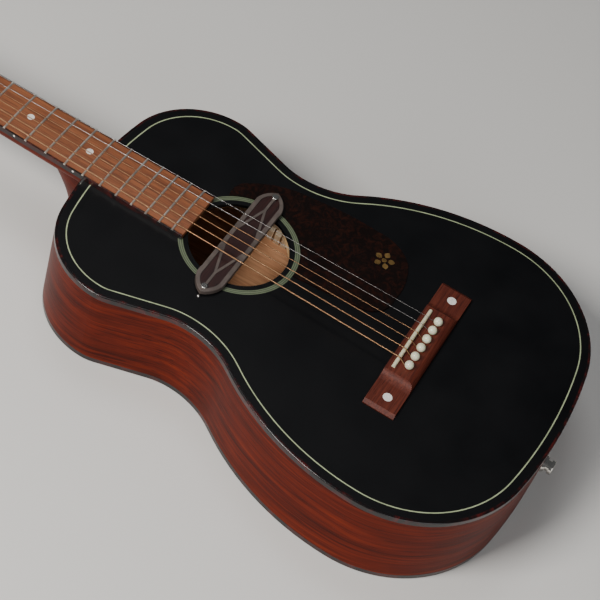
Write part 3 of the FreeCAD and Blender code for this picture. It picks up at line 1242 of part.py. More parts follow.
def worm():
    """Single-start right-hand worm along X, with a ridge centred on x = 0 where it faces -u."""
    turns = (WORM_LENGTH - WORM_RUN_OUT) / WORM_PITCH
    start = -turns * WORM_PITCH / 2
    helix = Part.makeHelix(WORM_PITCH, turns * WORM_PITCH, WORM_CORE_RADIUS)
    sunk = WORM_CORE_RADIUS - WORM_RIDGE_SINK
    half_root = WORM_RIDGE_ROOT / 2
    half_tip = WORM_RIDGE_TIP / 2
    profile = Part.Wire(Part.makePolygon([Vector(sunk, 0, -half_root),
                                          Vector(WORM_CREST_RADIUS, 0, -half_tip),
                                          Vector(WORM_CREST_RADIUS, 0, half_tip), Vector(sunk, 0, half_root),
                                          Vector(sunk, 0, -half_root)]))
    ridge = Part.Wire(helix.Edges).makePipeShell([profile], True, True)
    ridge.translate(Vector(0, 0, start))
    core = Part.makeCylinder(WORM_CORE_RADIUS, WORM_LENGTH, Vector(0, 0, -WORM_LENGTH / 2))
    thread = core.fuse(ridge)
    thread.rotate(Vector(0, 0, 0), Z, -90 - 180 * turns)
    thread.Placement = Placement(Vector(0, 0, 0), Rotation(Y, 90)).multiply(thread.Placement)
    return thread


def key_shape(threaded):
    """Worm, shaft and button of the treble side's machine, about its axis at the post's place."""
    end = WORM_LENGTH / 2 + LUG_PLAY
    stub_end = -end - LUG_THICKNESS - SHAFT_STUB
    inner_stub = rod(SHAFT_RADIUS, Vector(stub_end, 0, 0), Vector(-WORM_LENGTH / 2, 0, 0))
    reach = BUTTON_START - POST_X
    shaft = rod(SHAFT_RADIUS, Vector(WORM_LENGTH / 2, 0, 0), Vector(reach, 0, 0))
    low, high = SHAFT_COLLAR
    collar = rod(SHAFT_COLLAR_RADIUS, Vector(reach + low, 0, 0), Vector(reach + high, 0, 0))
    half = BUTTON_LENGTH / 2
    middle = Vector(reach + half, 0, 0)
    ellipse = Part.Ellipse(middle + Vector(0, BUTTON_HALF_WIDTH, 0), middle + Vector(half, 0, 0), middle)
    oval = Part.Face(Part.Wire(ellipse.toShape())).extrude(Z * BUTTON_THICKNESS)
    oval.translate(Vector(0, 0, -BUTTON_THICKNESS / 2))
    oval = oval.makeFillet(BUTTON_EDGE, [edge for edge in oval.Edges if edge.BoundBox.ZLength < TOUCH])
    return together([threaded, inner_stub, shaft, collar, oval])


def post_shape():
    """String post with its gear and gear screw, about the local v axis."""
    low = GEAR_MID - GEAR_FACE / 2
    stem = Part.makeCylinder(POST_RADIUS, POST_RISE - low, Vector(0, 0, low))
    stem = round_edges(stem, POST_EDGE, lambda edge: edge.BoundBox.ZMin > POST_RISE - TOUCH)
    past = Y * (2 * POST_RADIUS)
    middle = Vector(0, 0, POST_HOLE_RISE)
    hole = rod(POST_HOLE_RADIUS, middle - past, middle + past)
    screw = Part.makeCylinder(GEAR_SCREW_RADIUS, GEAR_SCREW_HEAD, Vector(0, 0, low - GEAR_SCREW_HEAD))
    return together([stem.cut(hole), gear_blank(), screw])


def winding_shape(index):
    """Turns of string on the post."""
    side, station = post_of(index)
    diameter = STRING_DIAMETERS[index]
    middle = POST_RADIUS + diameter / 2
    low = Vector(POST_RADIUS, 0, WINDING_RISE)
    high = low + Z * (WINDING_TURNS * diameter)
    edges = [line(low, Vector(middle, 0, low.z)), line(Vector(middle, 0, high.z), high), line(high, low)]
    for turn in range(WINDING_TURNS):
        z = WINDING_RISE + turn * diameter
        edges.append(arc(Vector(middle, 0, z), Vector(middle + diameter / 2, 0, z + diameter / 2),
                         Vector(middle, 0, z + diameter)))
    coil = face_of(edges).revolve(Vector(0, 0, 0), Z, 360)
    coil.translate(Vector(side * POST_X, station, 0))
    return on_head(coil)


def make_plates(cover_screws):
    """One base plate a side, with bearing lugs for three worms, and the screws that hold it."""
    plates = []
    screws = []
    back = -HEAD_THICKNESS
    for side in (-1, 1):
        low_u = POST_STATIONS[0] - PLATE_MARGIN
        high_u = POST_STATIONS[-1] + PLATE_MARGIN
        middle = side * POST_X
        plate = block(middle - PLATE_HALF_WIDTH, middle + PLATE_HALF_WIDTH, low_u, high_u,
                      back - PLATE_THICKNESS, back)
        pieces = [plate]
        cuts = []
        for u in POST_STATIONS:
            axis_u = u + WORM_OFFSET
            cuts.append(Part.makeCylinder(POST_RADIUS + RUNNING_FIT, 3 * PLATE_THICKNESS,
                                          Vector(middle, u, back - 2 * PLATE_THICKNESS)))
            for lug_side in (-1, 1):
                near = WORM_LENGTH / 2 + LUG_PLAY
                x0 = middle + lug_side * near
                x1 = middle + lug_side * (near + LUG_THICKNESS)
                pieces.append(block(min(x0, x1), max(x0, x1),
                                    axis_u - LUG_HALF_WIDTH, axis_u + LUG_HALF_WIDTH,
                                    GEAR_MID - LUG_HALF_WIDTH, back - PLATE_THICKNESS))
            outer_x, inner_x = middle + 2 * PLATE_HALF_WIDTH, middle - 2 * PLATE_HALF_WIDTH
            cuts.append(rod(SHAFT_RADIUS + RUNNING_FIT, Vector(inner_x, axis_u, GEAR_MID),
                            Vector(outer_x, axis_u, GEAR_MID)))
        screw_places = [low_u + PLATE_SCREW_INSET, high_u - PLATE_SCREW_INSET]
        screw_places += [u - PLATE_MARGIN for u in POST_STATIONS[1:]]
        for u in screw_places:
            shank = Part.makeCylinder(PLATE_SCREW_RADIUS, PLATE_SCREW_LENGTH,
                                      Vector(middle, u, back - PLATE_THICKNESS))
            head = Part.makeCylinder(PLATE_SCREW_HEAD_RADIUS, PLATE_SCREW_HEAD,
                                     Vector(middle, u, back - PLATE_THICKNESS - PLATE_SCREW_HEAD))
            crown = back - PLATE_THICKNESS - PLATE_SCREW_EDGE
            head = round_edges(head, PLATE_SCREW_EDGE, lambda edge: edge.BoundBox.ZMax < crown)
            screws.append(shank.fuse(head))
        plates.append(on_head(together(pieces).cut(cuts).cut(screws[-len(screw_places):])))
    keep("tuner_plates", *plates)
    bores = [on_head(screw) for screw in screws]
    keep("headstock_screws", *bores, *cover_screws)
    keep("neck", parts["neck"].cut(bores))


def make_machines():
    """Posts and keys, three a side, with bushings in the headstock face."""
    bushings = []
    threaded = worm()
    key = key_shape(threaded)
    post = post_shape()
    for index in range(len(STRING_DIAMETERS)):
        side, station = post_of(index)
        name = str(index + 1)
        place = Vector(side * POST_X, station, 0)
        own_post = post.copy()
        own_post.translate(place)
        post_and_turns = on_head(own_post).Solids + winding_shape(index).Solids
        parts["tuner_post_" + name] = Part.makeCompound(post_and_turns)
        own_key = key.copy()
        if side < 0:
            own_key.rotate(Vector(0, 0, 0), Y, 180)
        own_key.translate(place + Vector(0, WORM_OFFSET, GEAR_MID))
        keep("tuner_key_" + name, on_head(own_key))
        flange = Part.makeCylinder(BUSHING_FLANGE_RADIUS, BUSHING_FLANGE, place)
        sleeve = Part.makeCylinder(POST_BORE_RADIUS, BUSHING_DEPTH, place - Z * BUSHING_DEPTH)
        bore = Part.makeCylinder(POST_RADIUS + RUNNING_FIT, 4 * BUSHING_DEPTH, place - Z * 2 * BUSHING_DEPTH)
        bushings.append(on_head(sleeve.fuse(flange).cut(bore)))
    keep("post_bushings", *bushings)


# ---- build ----------------------------------------------------------------------------------------
def build():
    slots = make_strings()
    make_body(slots, jack_bore())
    make_braces()
    bridge_dots = make_bridge(slots)
    make_pickup()
    keep("pickguard", make_pickguard())
    cover_screws = make_neck()
    make_fingerboard(slots, bridge_dots)
    make_neck_bolts()
    make_jack()
    make_plates(cover_screws)
    make_machines()


def write():
    os.makedirs("parts", exist_ok=True)
    for name, shape in parts.items():
        placed = shape.copy()
        placed.translate(CENTRE_SHIFT)
        placed.exportStep("parts/" + name + ".step")


build()
write()
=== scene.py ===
"""Looks of a small steel-string guitar: finishes, wound strings, kerfed linings and string posts."""

import math

import bpy
from mathutils import Matrix, Vector


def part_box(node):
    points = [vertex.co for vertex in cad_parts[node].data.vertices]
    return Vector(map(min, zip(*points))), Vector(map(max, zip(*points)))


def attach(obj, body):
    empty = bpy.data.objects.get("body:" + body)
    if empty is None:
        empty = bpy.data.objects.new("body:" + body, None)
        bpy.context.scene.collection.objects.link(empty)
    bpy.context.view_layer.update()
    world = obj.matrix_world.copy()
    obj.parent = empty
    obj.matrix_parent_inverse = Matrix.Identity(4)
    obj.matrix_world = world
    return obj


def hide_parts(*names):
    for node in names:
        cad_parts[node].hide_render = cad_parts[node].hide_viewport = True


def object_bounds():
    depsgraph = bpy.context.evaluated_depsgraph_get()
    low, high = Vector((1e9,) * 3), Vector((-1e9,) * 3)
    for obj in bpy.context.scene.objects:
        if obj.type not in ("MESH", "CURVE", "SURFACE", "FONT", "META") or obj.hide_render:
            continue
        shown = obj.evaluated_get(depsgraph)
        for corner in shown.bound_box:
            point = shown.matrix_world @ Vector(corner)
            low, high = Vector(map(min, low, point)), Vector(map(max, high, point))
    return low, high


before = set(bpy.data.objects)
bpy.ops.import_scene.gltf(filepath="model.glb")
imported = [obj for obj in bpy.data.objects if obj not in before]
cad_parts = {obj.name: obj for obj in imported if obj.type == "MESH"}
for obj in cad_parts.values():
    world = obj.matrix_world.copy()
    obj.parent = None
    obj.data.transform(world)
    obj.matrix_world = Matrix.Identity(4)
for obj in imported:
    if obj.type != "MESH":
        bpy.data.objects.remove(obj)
size_of_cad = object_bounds()

MM = 0.001

# ---- driving dimensions, in millimetres -----------------------------------------------------
SCALE_LENGTH = 609.6
BOARD_THICKNESS = 6.0
CROWN_RADIUS = 305.0
FRET_HEIGHT = 1.1
FRET_CLEARANCE = 0.35
STRING_DIAMETERS = (0.30, 0.41, 0.61, 0.81, 1.07, 1.35)
WRAP_DIAMETERS = (0.0, 0.0, 0.30, 0.36, 0.42, 0.50)
PLAIN_STRINGS = 2
NUT_SPACING = 7.1
SADDLE_SPACING = 10.4
PIN_SPACING = 10.9
PIN_S = 619.9
PIN_SHAFT_RADIUS = 2.674
STRING_SLOT_FIT = 0.05
SADDLE_TOP = 12.2
SADDLE_WIDTH = 3.2
BRIDGE_TOP = 8.2
TOP_PLATE = 3.0
BRIDGE_PLATE = 3.0
BALL_RADIUS = 1.9
BALL_LENGTH = 3.6

HEAD_TILT = math.radians(14.0)
HEAD_DROP = 2.0
NUT_LENGTH = 6.0
POST_STATIONS = (44.0, 84.0, 124.0)
POST_X = 23.0
POST_RADIUS = 3.0
POST_RISE = 11.0
POST_HOLE_RISE = 8.8
WINDING_RISE = 3.2
WINDING_TURNS = 3
GEAR_TEETH = 14
GEAR_PITCH_RADIUS = 5.0
GEAR_ADDENDUM = 0.6
GEAR_DEDENDUM = 0.8
GEAR_FACE = 2.4
GEAR_MID = -18.2
GEAR_TOOTH_SHARE = 0.34
GEAR_SCREW_RADIUS = 2.4
GEAR_SCREW_HEAD = 1.2

LINING_WIDTH = 6.0
LINING_HEIGHT = 15.0
LINING_BEVEL = 3.3
KERF_PITCH = 7.0
KERF_WIDTH = 1.3
KERF_WEB = 1.1
NECK_BLOCK_HALF = 37.5
TAIL_BLOCK_HALF = 35.0
LINING_GAP = 0.2
FLOOR_GAP = 0.2

HOLE_S = 445.3
ROSETTE_INNER = 47.6
ROSETTE_OUTER = 51.9
WAIST_S = 470.0

# ---- places worked out from the frame --------------------------------------------------------
NUT_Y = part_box("fingerboard")[1].y
TOP_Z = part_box("top")[1].z / MM
BOARD_TOP = TOP_Z + BOARD_THICKNESS
HOLE_Y = NUT_Y - HOLE_S * MM
WAIST_Y = NUT_Y - WAIST_S * MM


def at(x, s, z):
    """Place in the row's frame from millimetres: across, from the nut towards the tail, and up."""
    return Vector((x * MM, NUT_Y - s * MM, z * MM))


def head_matrix():
    """Frame of the headstock's face: across, towards its tip, and out of its face."""
    turn = Matrix.Rotation(-HEAD_TILT, 4, "X")
    return Matrix.Translation(at(0, -NUT_LENGTH, TOP_Z + HEAD_DROP)) @ turn


HEAD = head_matrix()


def on_head(x, u, v):
    return HEAD @ Vector((x * MM, u * MM, v * MM))


# ---- mesh helpers ----------------------------------------------------------------------------
def piece(name, points, faces, material, body, replaces=(), smooth=True):
    """A mesh piece that rides a body and takes its finish from a slot."""
    mesh = bpy.data.meshes.new(name)
    mesh.from_pydata([tuple(point) for point in points], [], faces)
    mesh.validate()
    mesh.update()
    for face in mesh.polygons:
        face.use_smooth = smooth
    return settle(name, mesh, material, body, replaces)


def settle(name, mesh, material, body, replaces=()):
    made = bpy.data.objects.new(name, mesh)
    bpy.context.scene.collection.objects.link(made)
    mesh.materials.clear()
    mesh.materials.append(material)
    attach(made, body)
    if replaces:
        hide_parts(*replaces)
    return made


class Shape:
    """Points and faces that grow piece by piece."""

    def __init__(self):
        self.points = []
        self.faces = []

    def rings(self, rings):
        """Skins a list of rings that all have the same number of points, and closes both ends."""
        base = len(self.points)
        count = len(rings[0])
        for ring in rings:
            self.points.extend(ring)
        for row in range(len(rings) - 1):
            for column in range(count):
                following = (column + 1) % count
                a = base + row * count
                b = a + count
                self.faces.append((a + column, a + following, b + following, b + column))
        last = base + (len(rings) - 1) * count
        self.faces.append(tuple(base + column for column in reversed(range(count))))
        self.faces.append(tuple(last + column for column in range(count)))

    def lathe(self, profile, place, sides=32):
        """Turns (radius, height) pairs about the z axis of a matrix; the profile starts and ends on solid."""
        rings = []
        for radius, height in profile:
            ring = []
            for side in range(sides):
                angle = 2 * math.pi * side / sides
                local = Vector((radius * math.cos(angle), radius * math.sin(angle), height)) * MM
                ring.append(place @ local)
            rings.append(ring)
        self.rings(rings)


def crosswise(direction):
    """Two directions across a third."""
    side = direction.cross(Vector((0, 0, 1)))
    if side.length < 0.05:
        side = direction.cross(Vector((0, 1, 0)))
    side.normalize()
    return side, side.cross(direction).normalized()


# ---- shader helpers --------------------------------------------------------------------------
def node(tree, kind, inputs=None, **settings):
    """A shader node with its settings, and its inputs given as values or as sockets to link."""
    made = tree.nodes.new(kind)
    for key, value in settings.items():
        setattr(made, key, value)
    for key, value in (inputs or {}).items():
        if isinstance(value, bpy.types.NodeSocket):
            tree.links.new(value, made.inputs[key])
        else:
            made.inputs[key].default_value = value
    return made


def ramp(tree, factor, stops, interpolation="LINEAR"):
    """A colour ramp from (place, colour) pairs."""
    made = node(tree, "ShaderNodeValToRGB", {"Fac": factor})
    made.color_ramp.interpolation = interpolation
    elements = made.color_ramp.elements
    while len(elements) < len(stops):
        elements.new(0.5)
    for element, (place, colour) in zip(elements, stops):
        element.position = place
        element.color = colour if len(colour) == 4 else (*colour, 1)
    return made.outputs["Color"]


def mask(tree, value, low, high):
    """0 below low, 1 above high."""
    made = node(tree, "ShaderNodeMapRange", {"Value": value, "From Min": low, "From Max": high})
    return made.outputs["Result"]


def arithmetic(tree, operation, first, second=0.0):
    return node(tree, "ShaderNodeMath", {0: first, 1: second}, operation=operation).outputs[0]


def mix_colour(tree, factor, first, second, blend="MIX"):
    made = node(tree, "ShaderNodeMix", data_type="RGBA", blend_type=blend)
    for index, value in ((0, factor), (6, first), (7, second)):
        if isinstance(value, bpy.types.NodeSocket):
            tree.links.new(value, made.inputs[index])
        elif index == 0:
            made.inputs[index].default_value = value
        else:
            made.inputs[index].default_value = (*value, 1)
    return made.outputs[2]


def make_group(name, inputs, outputs):
    """An empty node group with named float or vector inputs and float outputs."""
    group = bpy.data.node_groups.new(name, "ShaderNodeTree")
    for label, default in inputs:
        kind = "NodeSocketVector" if default is None else "NodeSocketFloat"
        socket = group.interface.new_socket(name=label, in_out="INPUT", socket_type=kind)
        if default is not None:
            socket.default_value = default
    for label in outputs:
        group.interface.new_socket(name=label, in_out="OUTPUT", socket_type="NodeSocketFloat")
    start = group.nodes.new("NodeGroupInput")
    end = group.nodes.new("NodeGroupOutput")
    return group, start.outputs, end.inputs


def scaled(tree, vector, across, along):
    """A place with its first axis scaled by one value and the other two by another."""
    factors = node(tree, "ShaderNodeCombineXYZ", {"X": along, "Y": across, "Z": across}).outputs[0]
    return node(tree, "ShaderNodeVectorMath", {0: vector, 1: factors}, operation="MULTIPLY").outputs[0]


def make_wood_grain():
    """Bands of figure and fine open pores, long along the place's first axis."""
    group, source, result = make_group(
        "wood_grain", (("Place", None), ("Bands", 90.0), ("Run", 18.0), ("Pores", 1400.0)),
        ("Figure", "Pore", "Fibre"))
    along = arithmetic(group, "DIVIDE", source["Bands"], source["Run"])
    banded = scaled(group, source["Place"], source["Bands"], along)
    figure = node(group, "ShaderNodeTexNoise", {"Vector": banded, "Scale": 1.0, "Detail": 5.0,
                                                "Roughness": 0.62, "Distortion": 0.5})
    group.links.new(figure.outputs["Fac"], result["Figure"])
    pore_run = arithmetic(group, "DIVIDE", source["Pores"], 22.0)
    pored = scaled(group, source["Place"], source["Pores"], pore_run)
    pores = node(group, "ShaderNodeTexNoise", {"Vector": pored, "Scale": 1.0, "Detail": 2.0})
    group.links.new(mask(group, pores.outputs["Fac"], 0.6, 0.7), result["Pore"])
    fibre_run = arithmetic(group, "DIVIDE", source["Pores"], 60.0)
    fibred = scaled(group, source["Place"], source["Pores"], fibre_run)
    fibres = node(group, "ShaderNodeTexNoise", {"Vector": fibred, "Scale": 0.5, "Detail": 3.0})
    group.links.new(fibres.outputs["Fac"], result["Fibre"])
    return group


def make_tortoise_sheet():
    """Cloudy patches with soft edges and small specks inside them."""
    group, source, result = make_group("tortoise_sheet", (("Place", None), ("Patches", 90.0)),
                                       ("Patch", "Speck"))
    wander = node(group, "ShaderNodeTexNoise", {"Vector": source["Place"], "Scale": source["Patches"],
                                                "Detail": 3.0, "Roughness": 0.6, "Distortion": 1.4})
    group.links.new(mask(group, wander.outputs["Fac"], 0.45, 0.66), result["Patch"])
    fine = arithmetic(group, "MULTIPLY", source["Patches"], 4.5)
    specks = node(group, "ShaderNodeTexNoise", {"Vector": source["Place"], "Scale": fine, "Detail": 4.0,
                                                "Distortion": 0.8})
    group.links.new(mask(group, specks.outputs["Fac"], 0.5, 0.62), result["Speck"])
    return group


def make_handling():
    """Broad smudges and fine hairline marks left by hands and cloths."""
    group, source, result = make_group("handling", (("Place", None), ("Size", 30.0)), ("Smudge", "Hairline"))
    broad = node(group, "ShaderNodeTexNoise", {"Vector": source["Place"], "Scale": source["Size"],
                                               "Detail": 4.0})
    group.links.new(broad.outputs["Fac"], result["Smudge"])
    stretched = node(group, "ShaderNodeMapping", {"Vector": source["Place"], "Scale": (1.0, 0.06, 1.0),
                                                  "Rotation": (0.0, 0.0, 0.5)}).outputs[0]
    fine = arithmetic(group, "MULTIPLY", source["Size"], 60.0)
    hair = node(group, "ShaderNodeTexNoise", {"Vector": stretched, "Scale": fine, "Detail": 2.0})
    group.links.new(mask(group, hair.outputs["Fac"], 0.62, 0.75), result["Hairline"])
    return group


WOOD_GRAIN = make_wood_grain()
TORTOISE_SHEET = make_tortoise_sheet()
HANDLING = make_handling()


def use_group(tree, group, inputs):
    made = node(tree, "ShaderNodeGroup")
    made.node_tree = group
    for key, value in inputs.items():
        if isinstance(value, bpy.types.NodeSocket):
            tree.links.new(value, made.inputs[key])
        else:
            made.inputs[key].default_value = value
    return made.outputs


def finish(name, **sockets):
    """A material with its Principled shader's own sockets set; returns it, its tree and the shader."""
    material = bpy.data.materials.new(name)
    material.use_nodes = True
    tree = material.node_tree
    shader = tree.nodes["Principled BSDF"]
    for key, value in sockets.items():
        label = key.replace("_", " ").title().replace("Ior", "IOR")
        shader.inputs[label].default_value = (*value, 1) if isinstance(value, tuple) else value
    return material, tree, shader


def here(tree):
    """Place on the object, in metres, in the row's frame."""
    return node(tree, "ShaderNodeTexCoord").outputs["Object"]


def bump(tree, shader, height, depth, strength=1.0):
    made = node(tree, "ShaderNodeBump", {"Height": height, "Distance": depth, "Strength": strength})
    tree.links.new(made.outputs["Normal"], shader.inputs["Normal"])


def split(tree, place):
    return node(tree, "ShaderNodeSeparateXYZ", {"Vector": place}).outputs


def along_neck(tree):
    """Grain along the instrument."""
    place = split(tree, here(tree))
    return node(tree, "ShaderNodeCombineXYZ", {"X": place["Y"], "Y": place["X"], "Z": place["Z"]}).outputs[0]


def across_body(tree):
    return here(tree)


def book_matched(tree):
    """Grain along the instrument, mirrored at the centre joint."""
    place = split(tree, here(tree))
    side = arithmetic(tree, "ABSOLUTE", place["X"])
    return node(tree, "ShaderNodeCombineXYZ", {"X": place["Y"], "Y": side, "Z": place["Z"]}).outputs[0]


def round_the_rim(tree):
    """Grain along the bent sides: the place's first axis goes round the body."""
    place = split(tree, here(tree))
    forward = arithmetic(tree, "SUBTRACT", place["Y"], WAIST_Y)
    angle = arithmetic(tree, "ARCTAN2", arithmetic(tree, "ABSOLUTE", place["X"]), forward)
    travel = arithmetic(tree, "MULTIPLY", angle, 0.22)
    drift = arithmetic(tree, "MULTIPLY", forward, 0.05)
    height = arithmetic(tree, "ADD", place["Z"], drift)
    return node(tree, "ShaderNodeCombineXYZ", {"X": travel, "Y": height, "Z": 0.0}).outputs[0]


def wood(name, grain_place, dark, middle, light, bands=90.0, run=18.0, pores=1400.0, pore_depth=0.00003,
         pore_dark=0.45, **sockets):
    """Wood with figure from dark to light and pores that are darker and a little sunk."""
    material, tree, shader = finish(name, **sockets)
    grain = use_group(tree, WOOD_GRAIN, {"Place": grain_place(tree), "Bands": bands, "Run": run,
                                         "Pores": pores})
    figure = ramp(tree, grain["Figure"], ((0.3, dark), (0.5, middle), (0.7, light)))
    fibres = mask(tree, grain["Fibre"], 0.3, 0.7)
    fibred = mix_colour(tree, 0.35, figure, ramp(tree, fibres, ((0.0, dark), (1.0, light))))
    shade = tuple(channel * pore_dark for channel in dark)
    pored = mix_colour(tree, arithmetic(tree, "MULTIPLY", grain["Pore"], 0.75), fibred, shade)
    tree.links.new(pored, shader.inputs["Base Color"])
    rough = shader.inputs["Roughness"].default_value
    uneven = node(tree, "ShaderNodeMapRange", {"Value": grain["Fibre"], "To Min": rough * 0.82,
                                               "To Max": rough * 1.2})
    tree.links.new(uneven.outputs["Result"], shader.inputs["Roughness"])
    sunk = arithmetic(tree, "MULTIPLY", grain["Pore"], -1.0)
    raised = arithmetic(tree, "MULTIPLY", grain["Fibre"], 0.3)
    bump(tree, shader, arithmetic(tree, "ADD", sunk, raised), pore_depth)
    return material


def show_bare_inside(material, level, dark, light):
    """Bare wood above a height, on the plate's inner face."""
    tree = material.node_tree
    shader = tree.nodes["Principled BSDF"]
    place = split(tree, here(tree))
    grain = use_group(tree, WOOD_GRAIN, {"Place": book_matched(tree), "Bands": 240.0, "Run": 12.0,
                                         "Pores": 1200.0})
    bare = ramp(tree, grain["Figure"], ((0.3, dark), (0.7, light)))
    inside = mask(tree, place["Z"], level, level + 0.0004)
    outer = shader.inputs["Base Color"].links[0].from_socket
    tree.links.new(mix_colour(tree, inside, outer, bare), shader.inputs["Base Color"])


def lacquer(name, colour, roughness, **sockets):
    """Opaque satin lacquer with faint smudges and the wood's fibres showing as a slight relief."""
    material, tree, shader = finish(name, base_color=colour, roughness=roughness, **sockets)
    marks = use_group(tree, HANDLING, {"Place": here(tree), "Size": 24.0})
    uneven = node(tree, "ShaderNodeMapRange", {"Value": marks["Smudge"], "From Min": 0.3, "From Max": 0.7,
                                               "To Min": roughness * 0.9, "To Max": roughness * 1.12})
    tree.links.new(uneven.outputs["Result"], shader.inputs["Roughness"])
    lighter = tuple(channel * 1.5 + 0.002 for channel in colour)
    tree.links.new(mix_colour(tree, marks["Smudge"], colour, lighter), shader.inputs["Base Color"])
    grain = use_group(tree, WOOD_GRAIN, {"Place": along_neck(tree), "Bands": 300.0, "Run": 40.0,
                                         "Pores": 900.0})
    relief = arithmetic(tree, "ADD", grain["Fibre"], arithmetic(tree, "MULTIPLY", marks["Hairline"], 0.2))
    bump(tree, shader, relief, 0.00001, 0.6)
    return material


def tortoise(name, dark, red, patches, **sockets):
    """Celluloid with reddish clouds in nearly black brown."""
    material, tree, shader = finish(name, **sockets)
    place = here(tree)
    sheet = use_group(tree, TORTOISE_SHEET, {"Place": place, "Patches": patches})
    speckled = arithmetic(tree, "MULTIPLY", sheet["Speck"], 0.55)
    amount = arithmetic(tree, "MULTIPLY", sheet["Patch"], arithmetic(tree, "SUBTRACT", 1.0, speckled))
    tree.links.new(mix_colour(tree, amount, dark, red), shader.inputs["Base Color"])
    marks = use_group(tree, HANDLING, {"Place": place, "Size": 40.0})
    rough = shader.inputs["Roughness"].default_value
    uneven = node(tree, "ShaderNodeMapRange", {"Value": marks["Smudge"], "To Min": rough * 0.7,
                                               "To Max": rough * 1.3})
    tree.links.new(uneven.outputs["Result"], shader.inputs["Roughness"])
    bump(tree, shader, marks["Hairline"], 0.000004, 0.5)
    return material


def metal(name, colour, roughness, brushed=0.0, grain_place=along_neck):
    """Plated or bare metal with uneven polish and fine drawn lines."""
    material, tree, shader = finish(name, base_color=colour, metallic=1.0, roughness=roughness)
    marks = use_group(tree, HANDLING, {"Place": here(tree), "Size": 160.0})
    uneven = node(tree, "ShaderNodeMapRange", {"Value": marks["Smudge"], "From Min": 0.3, "From Max": 0.7,
                                               "To Min": roughness * 0.75, "To Max": roughness * 1.35})
    tree.links.new(uneven.outputs["Result"], shader.inputs["Roughness"])
    duller = tuple(channel * 0.82 for channel in colour)
    tree.links.new(mix_colour(tree, marks["Smudge"], colour, duller), shader.inputs["Base Color"])
    lines = use_group(tree, WOOD_GRAIN, {"Place": grain_place(tree), "Bands": 2000.0, "Run": 40.0,
                                         "Pores": 6000.0})
    height = arithmetic(tree, "ADD", arithmetic(tree, "MULTIPLY", lines["Fibre"], brushed), marks["Hairline"])
    bump(tree, shader, height, 0.000004, 0.5)
    return material


def moulded(name, colour, roughness, mottle=0.12, texture=0.000015, **sockets):
    """Plastic, bone or a moulded frame: slight mottle and a fine moulded texture."""
    material, tree, shader = finish(name, base_color=colour, roughness=roughness, **sockets)
    place = here(tree)
    marks = use_group(tree, HANDLING, {"Place": place, "Size": 120.0})
    darker = tuple(channel * (1 - 2 * mottle) for channel in colour)
    lighter = tuple(min(1.0, channel * (1 + mottle)) for channel in colour)
    tree.links.new(ramp(tree, marks["Smudge"], ((0.3, darker), (0.7, lighter))), shader.inputs["Base Color"])
    uneven = node(tree, "ShaderNodeMapRange", {"Value": marks["Smudge"], "To Min": roughness * 0.8,
                                               "To Max": roughness * 1.2})
    tree.links.new(uneven.outputs["Result"], shader.inputs["Roughness"])
    fine = node(tree, "ShaderNodeTexNoise", {"Vector": place, "Scale": 3000.0, "Detail": 2.0})
    bump(tree, shader, fine.outputs["Fac"], texture, 0.5)
    return material


def shell(name):
    """Mother of pearl: soft clouds of pink, green and silver."""
    material, tree, shader = finish(name, roughness=0.2, coat_weight=0.4, coat_roughness=0.1)
    clouds = node(tree, "ShaderNodeTexNoise", {"Vector": here(tree), "Scale": 420.0, "Detail": 4.0,
                                               "Distortion": 2.0})
    colours = ramp(tree, clouds.outputs["Fac"], ((0.3, (0.52, 0.58, 0.54)), (0.45, (0.74, 0.77, 0.72)),
                                                 (0.55, (0.82, 0.74, 0.72)), (0.7, (0.88, 0.88, 0.84))))
    tree.links.new(colours, shader.inputs["Base Color"])
    bump(tree, shader, clouds.outputs["Fac"], 0.00002, 0.4)
    return material


def rosette_rings(name, band, line_colour):
    """Ring inlay with two thin dark lines, by distance from the soundhole's middle."""
    material, tree, shader = finish(name, roughness=0.35)
    place = split(tree, here(tree))
    forward = arithmetic(tree, "SUBTRACT", place["Y"], HOLE_Y)
    squares = arithmetic(tree, "ADD", arithmetic(tree, "MULTIPLY", place["X"], place["X"]),
                         arithmetic(tree, "MULTIPLY", forward, forward))
    radius = arithmetic(tree, "MULTIPLY", arithmetic(tree, "SQRT", squares), 1 / MM)
    share = mask(tree, radius, ROSETTE_INNER, ROSETTE_OUTER)
    marks = use_group(tree, HANDLING, {"Place": here(tree), "Size": 200.0})
    shaded = tuple(channel * 0.8 for channel in band)
    ivory = mix_colour(tree, marks["Smudge"], band, shaded)
    lines = ramp(tree, share, ((0.0, (0, 0, 0)), (0.24, (1, 1, 1)), (0.34, (0, 0, 0)), (0.66, (1, 1, 1)),
                               (0.76, (0, 0, 0))), "CONSTANT")
    tree.links.new(mix_colour(tree, lines, ivory, line_colour), shader.inputs["Base Color"])
    bump(tree, shader, marks["Hairline"], 0.000006, 0.5)
    return material


LACQUER = dict(specular_ior_level=0.08)
BLACK_TOP = lacquer("black_top_lacquer", (0.0008, 0.0009, 0.0014), 0.42, specular_ior_level=0.2)
BLACK_HEAD = lacquer("black_head_lacquer", (0.0018, 0.0018, 0.0024), 0.32, specular_ior_level=0.35)
MAHOGANY = ((0.018, 0.0016, 0.0007), (0.08, 0.006, 0.0014), (0.18, 0.019, 0.0035))
SIDE_WOOD = wood("mahogany_sides", round_the_rim, *MAHOGANY, bands=150.0, run=14.0, pores=900.0,
                 roughness=0.4, **LACQUER)
BACK_WOOD = wood("mahogany_back", book_matched, *MAHOGANY, bands=90.0, run=16.0, pores=900.0, roughness=0.4,
                 **LACQUER)
NECK_WOOD = wood("mahogany_neck", along_neck, *MAHOGANY, bands=140.0, run=18.0, pores=1000.0, roughness=0.4,
                 **LACQUER)
show_bare_inside(BACK_WOOD, 1.4 * MM, (0.5, 0.21, 0.1), (0.85, 0.47, 0.26))
SPRUCE = wood("bare_spruce", along_neck, (0.4, 0.22, 0.09), (0.6, 0.38, 0.18), (0.7, 0.48, 0.26), bands=500.0,
              run=60.0, pores=2400.0, pore_depth=0.000015, roughness=0.6)
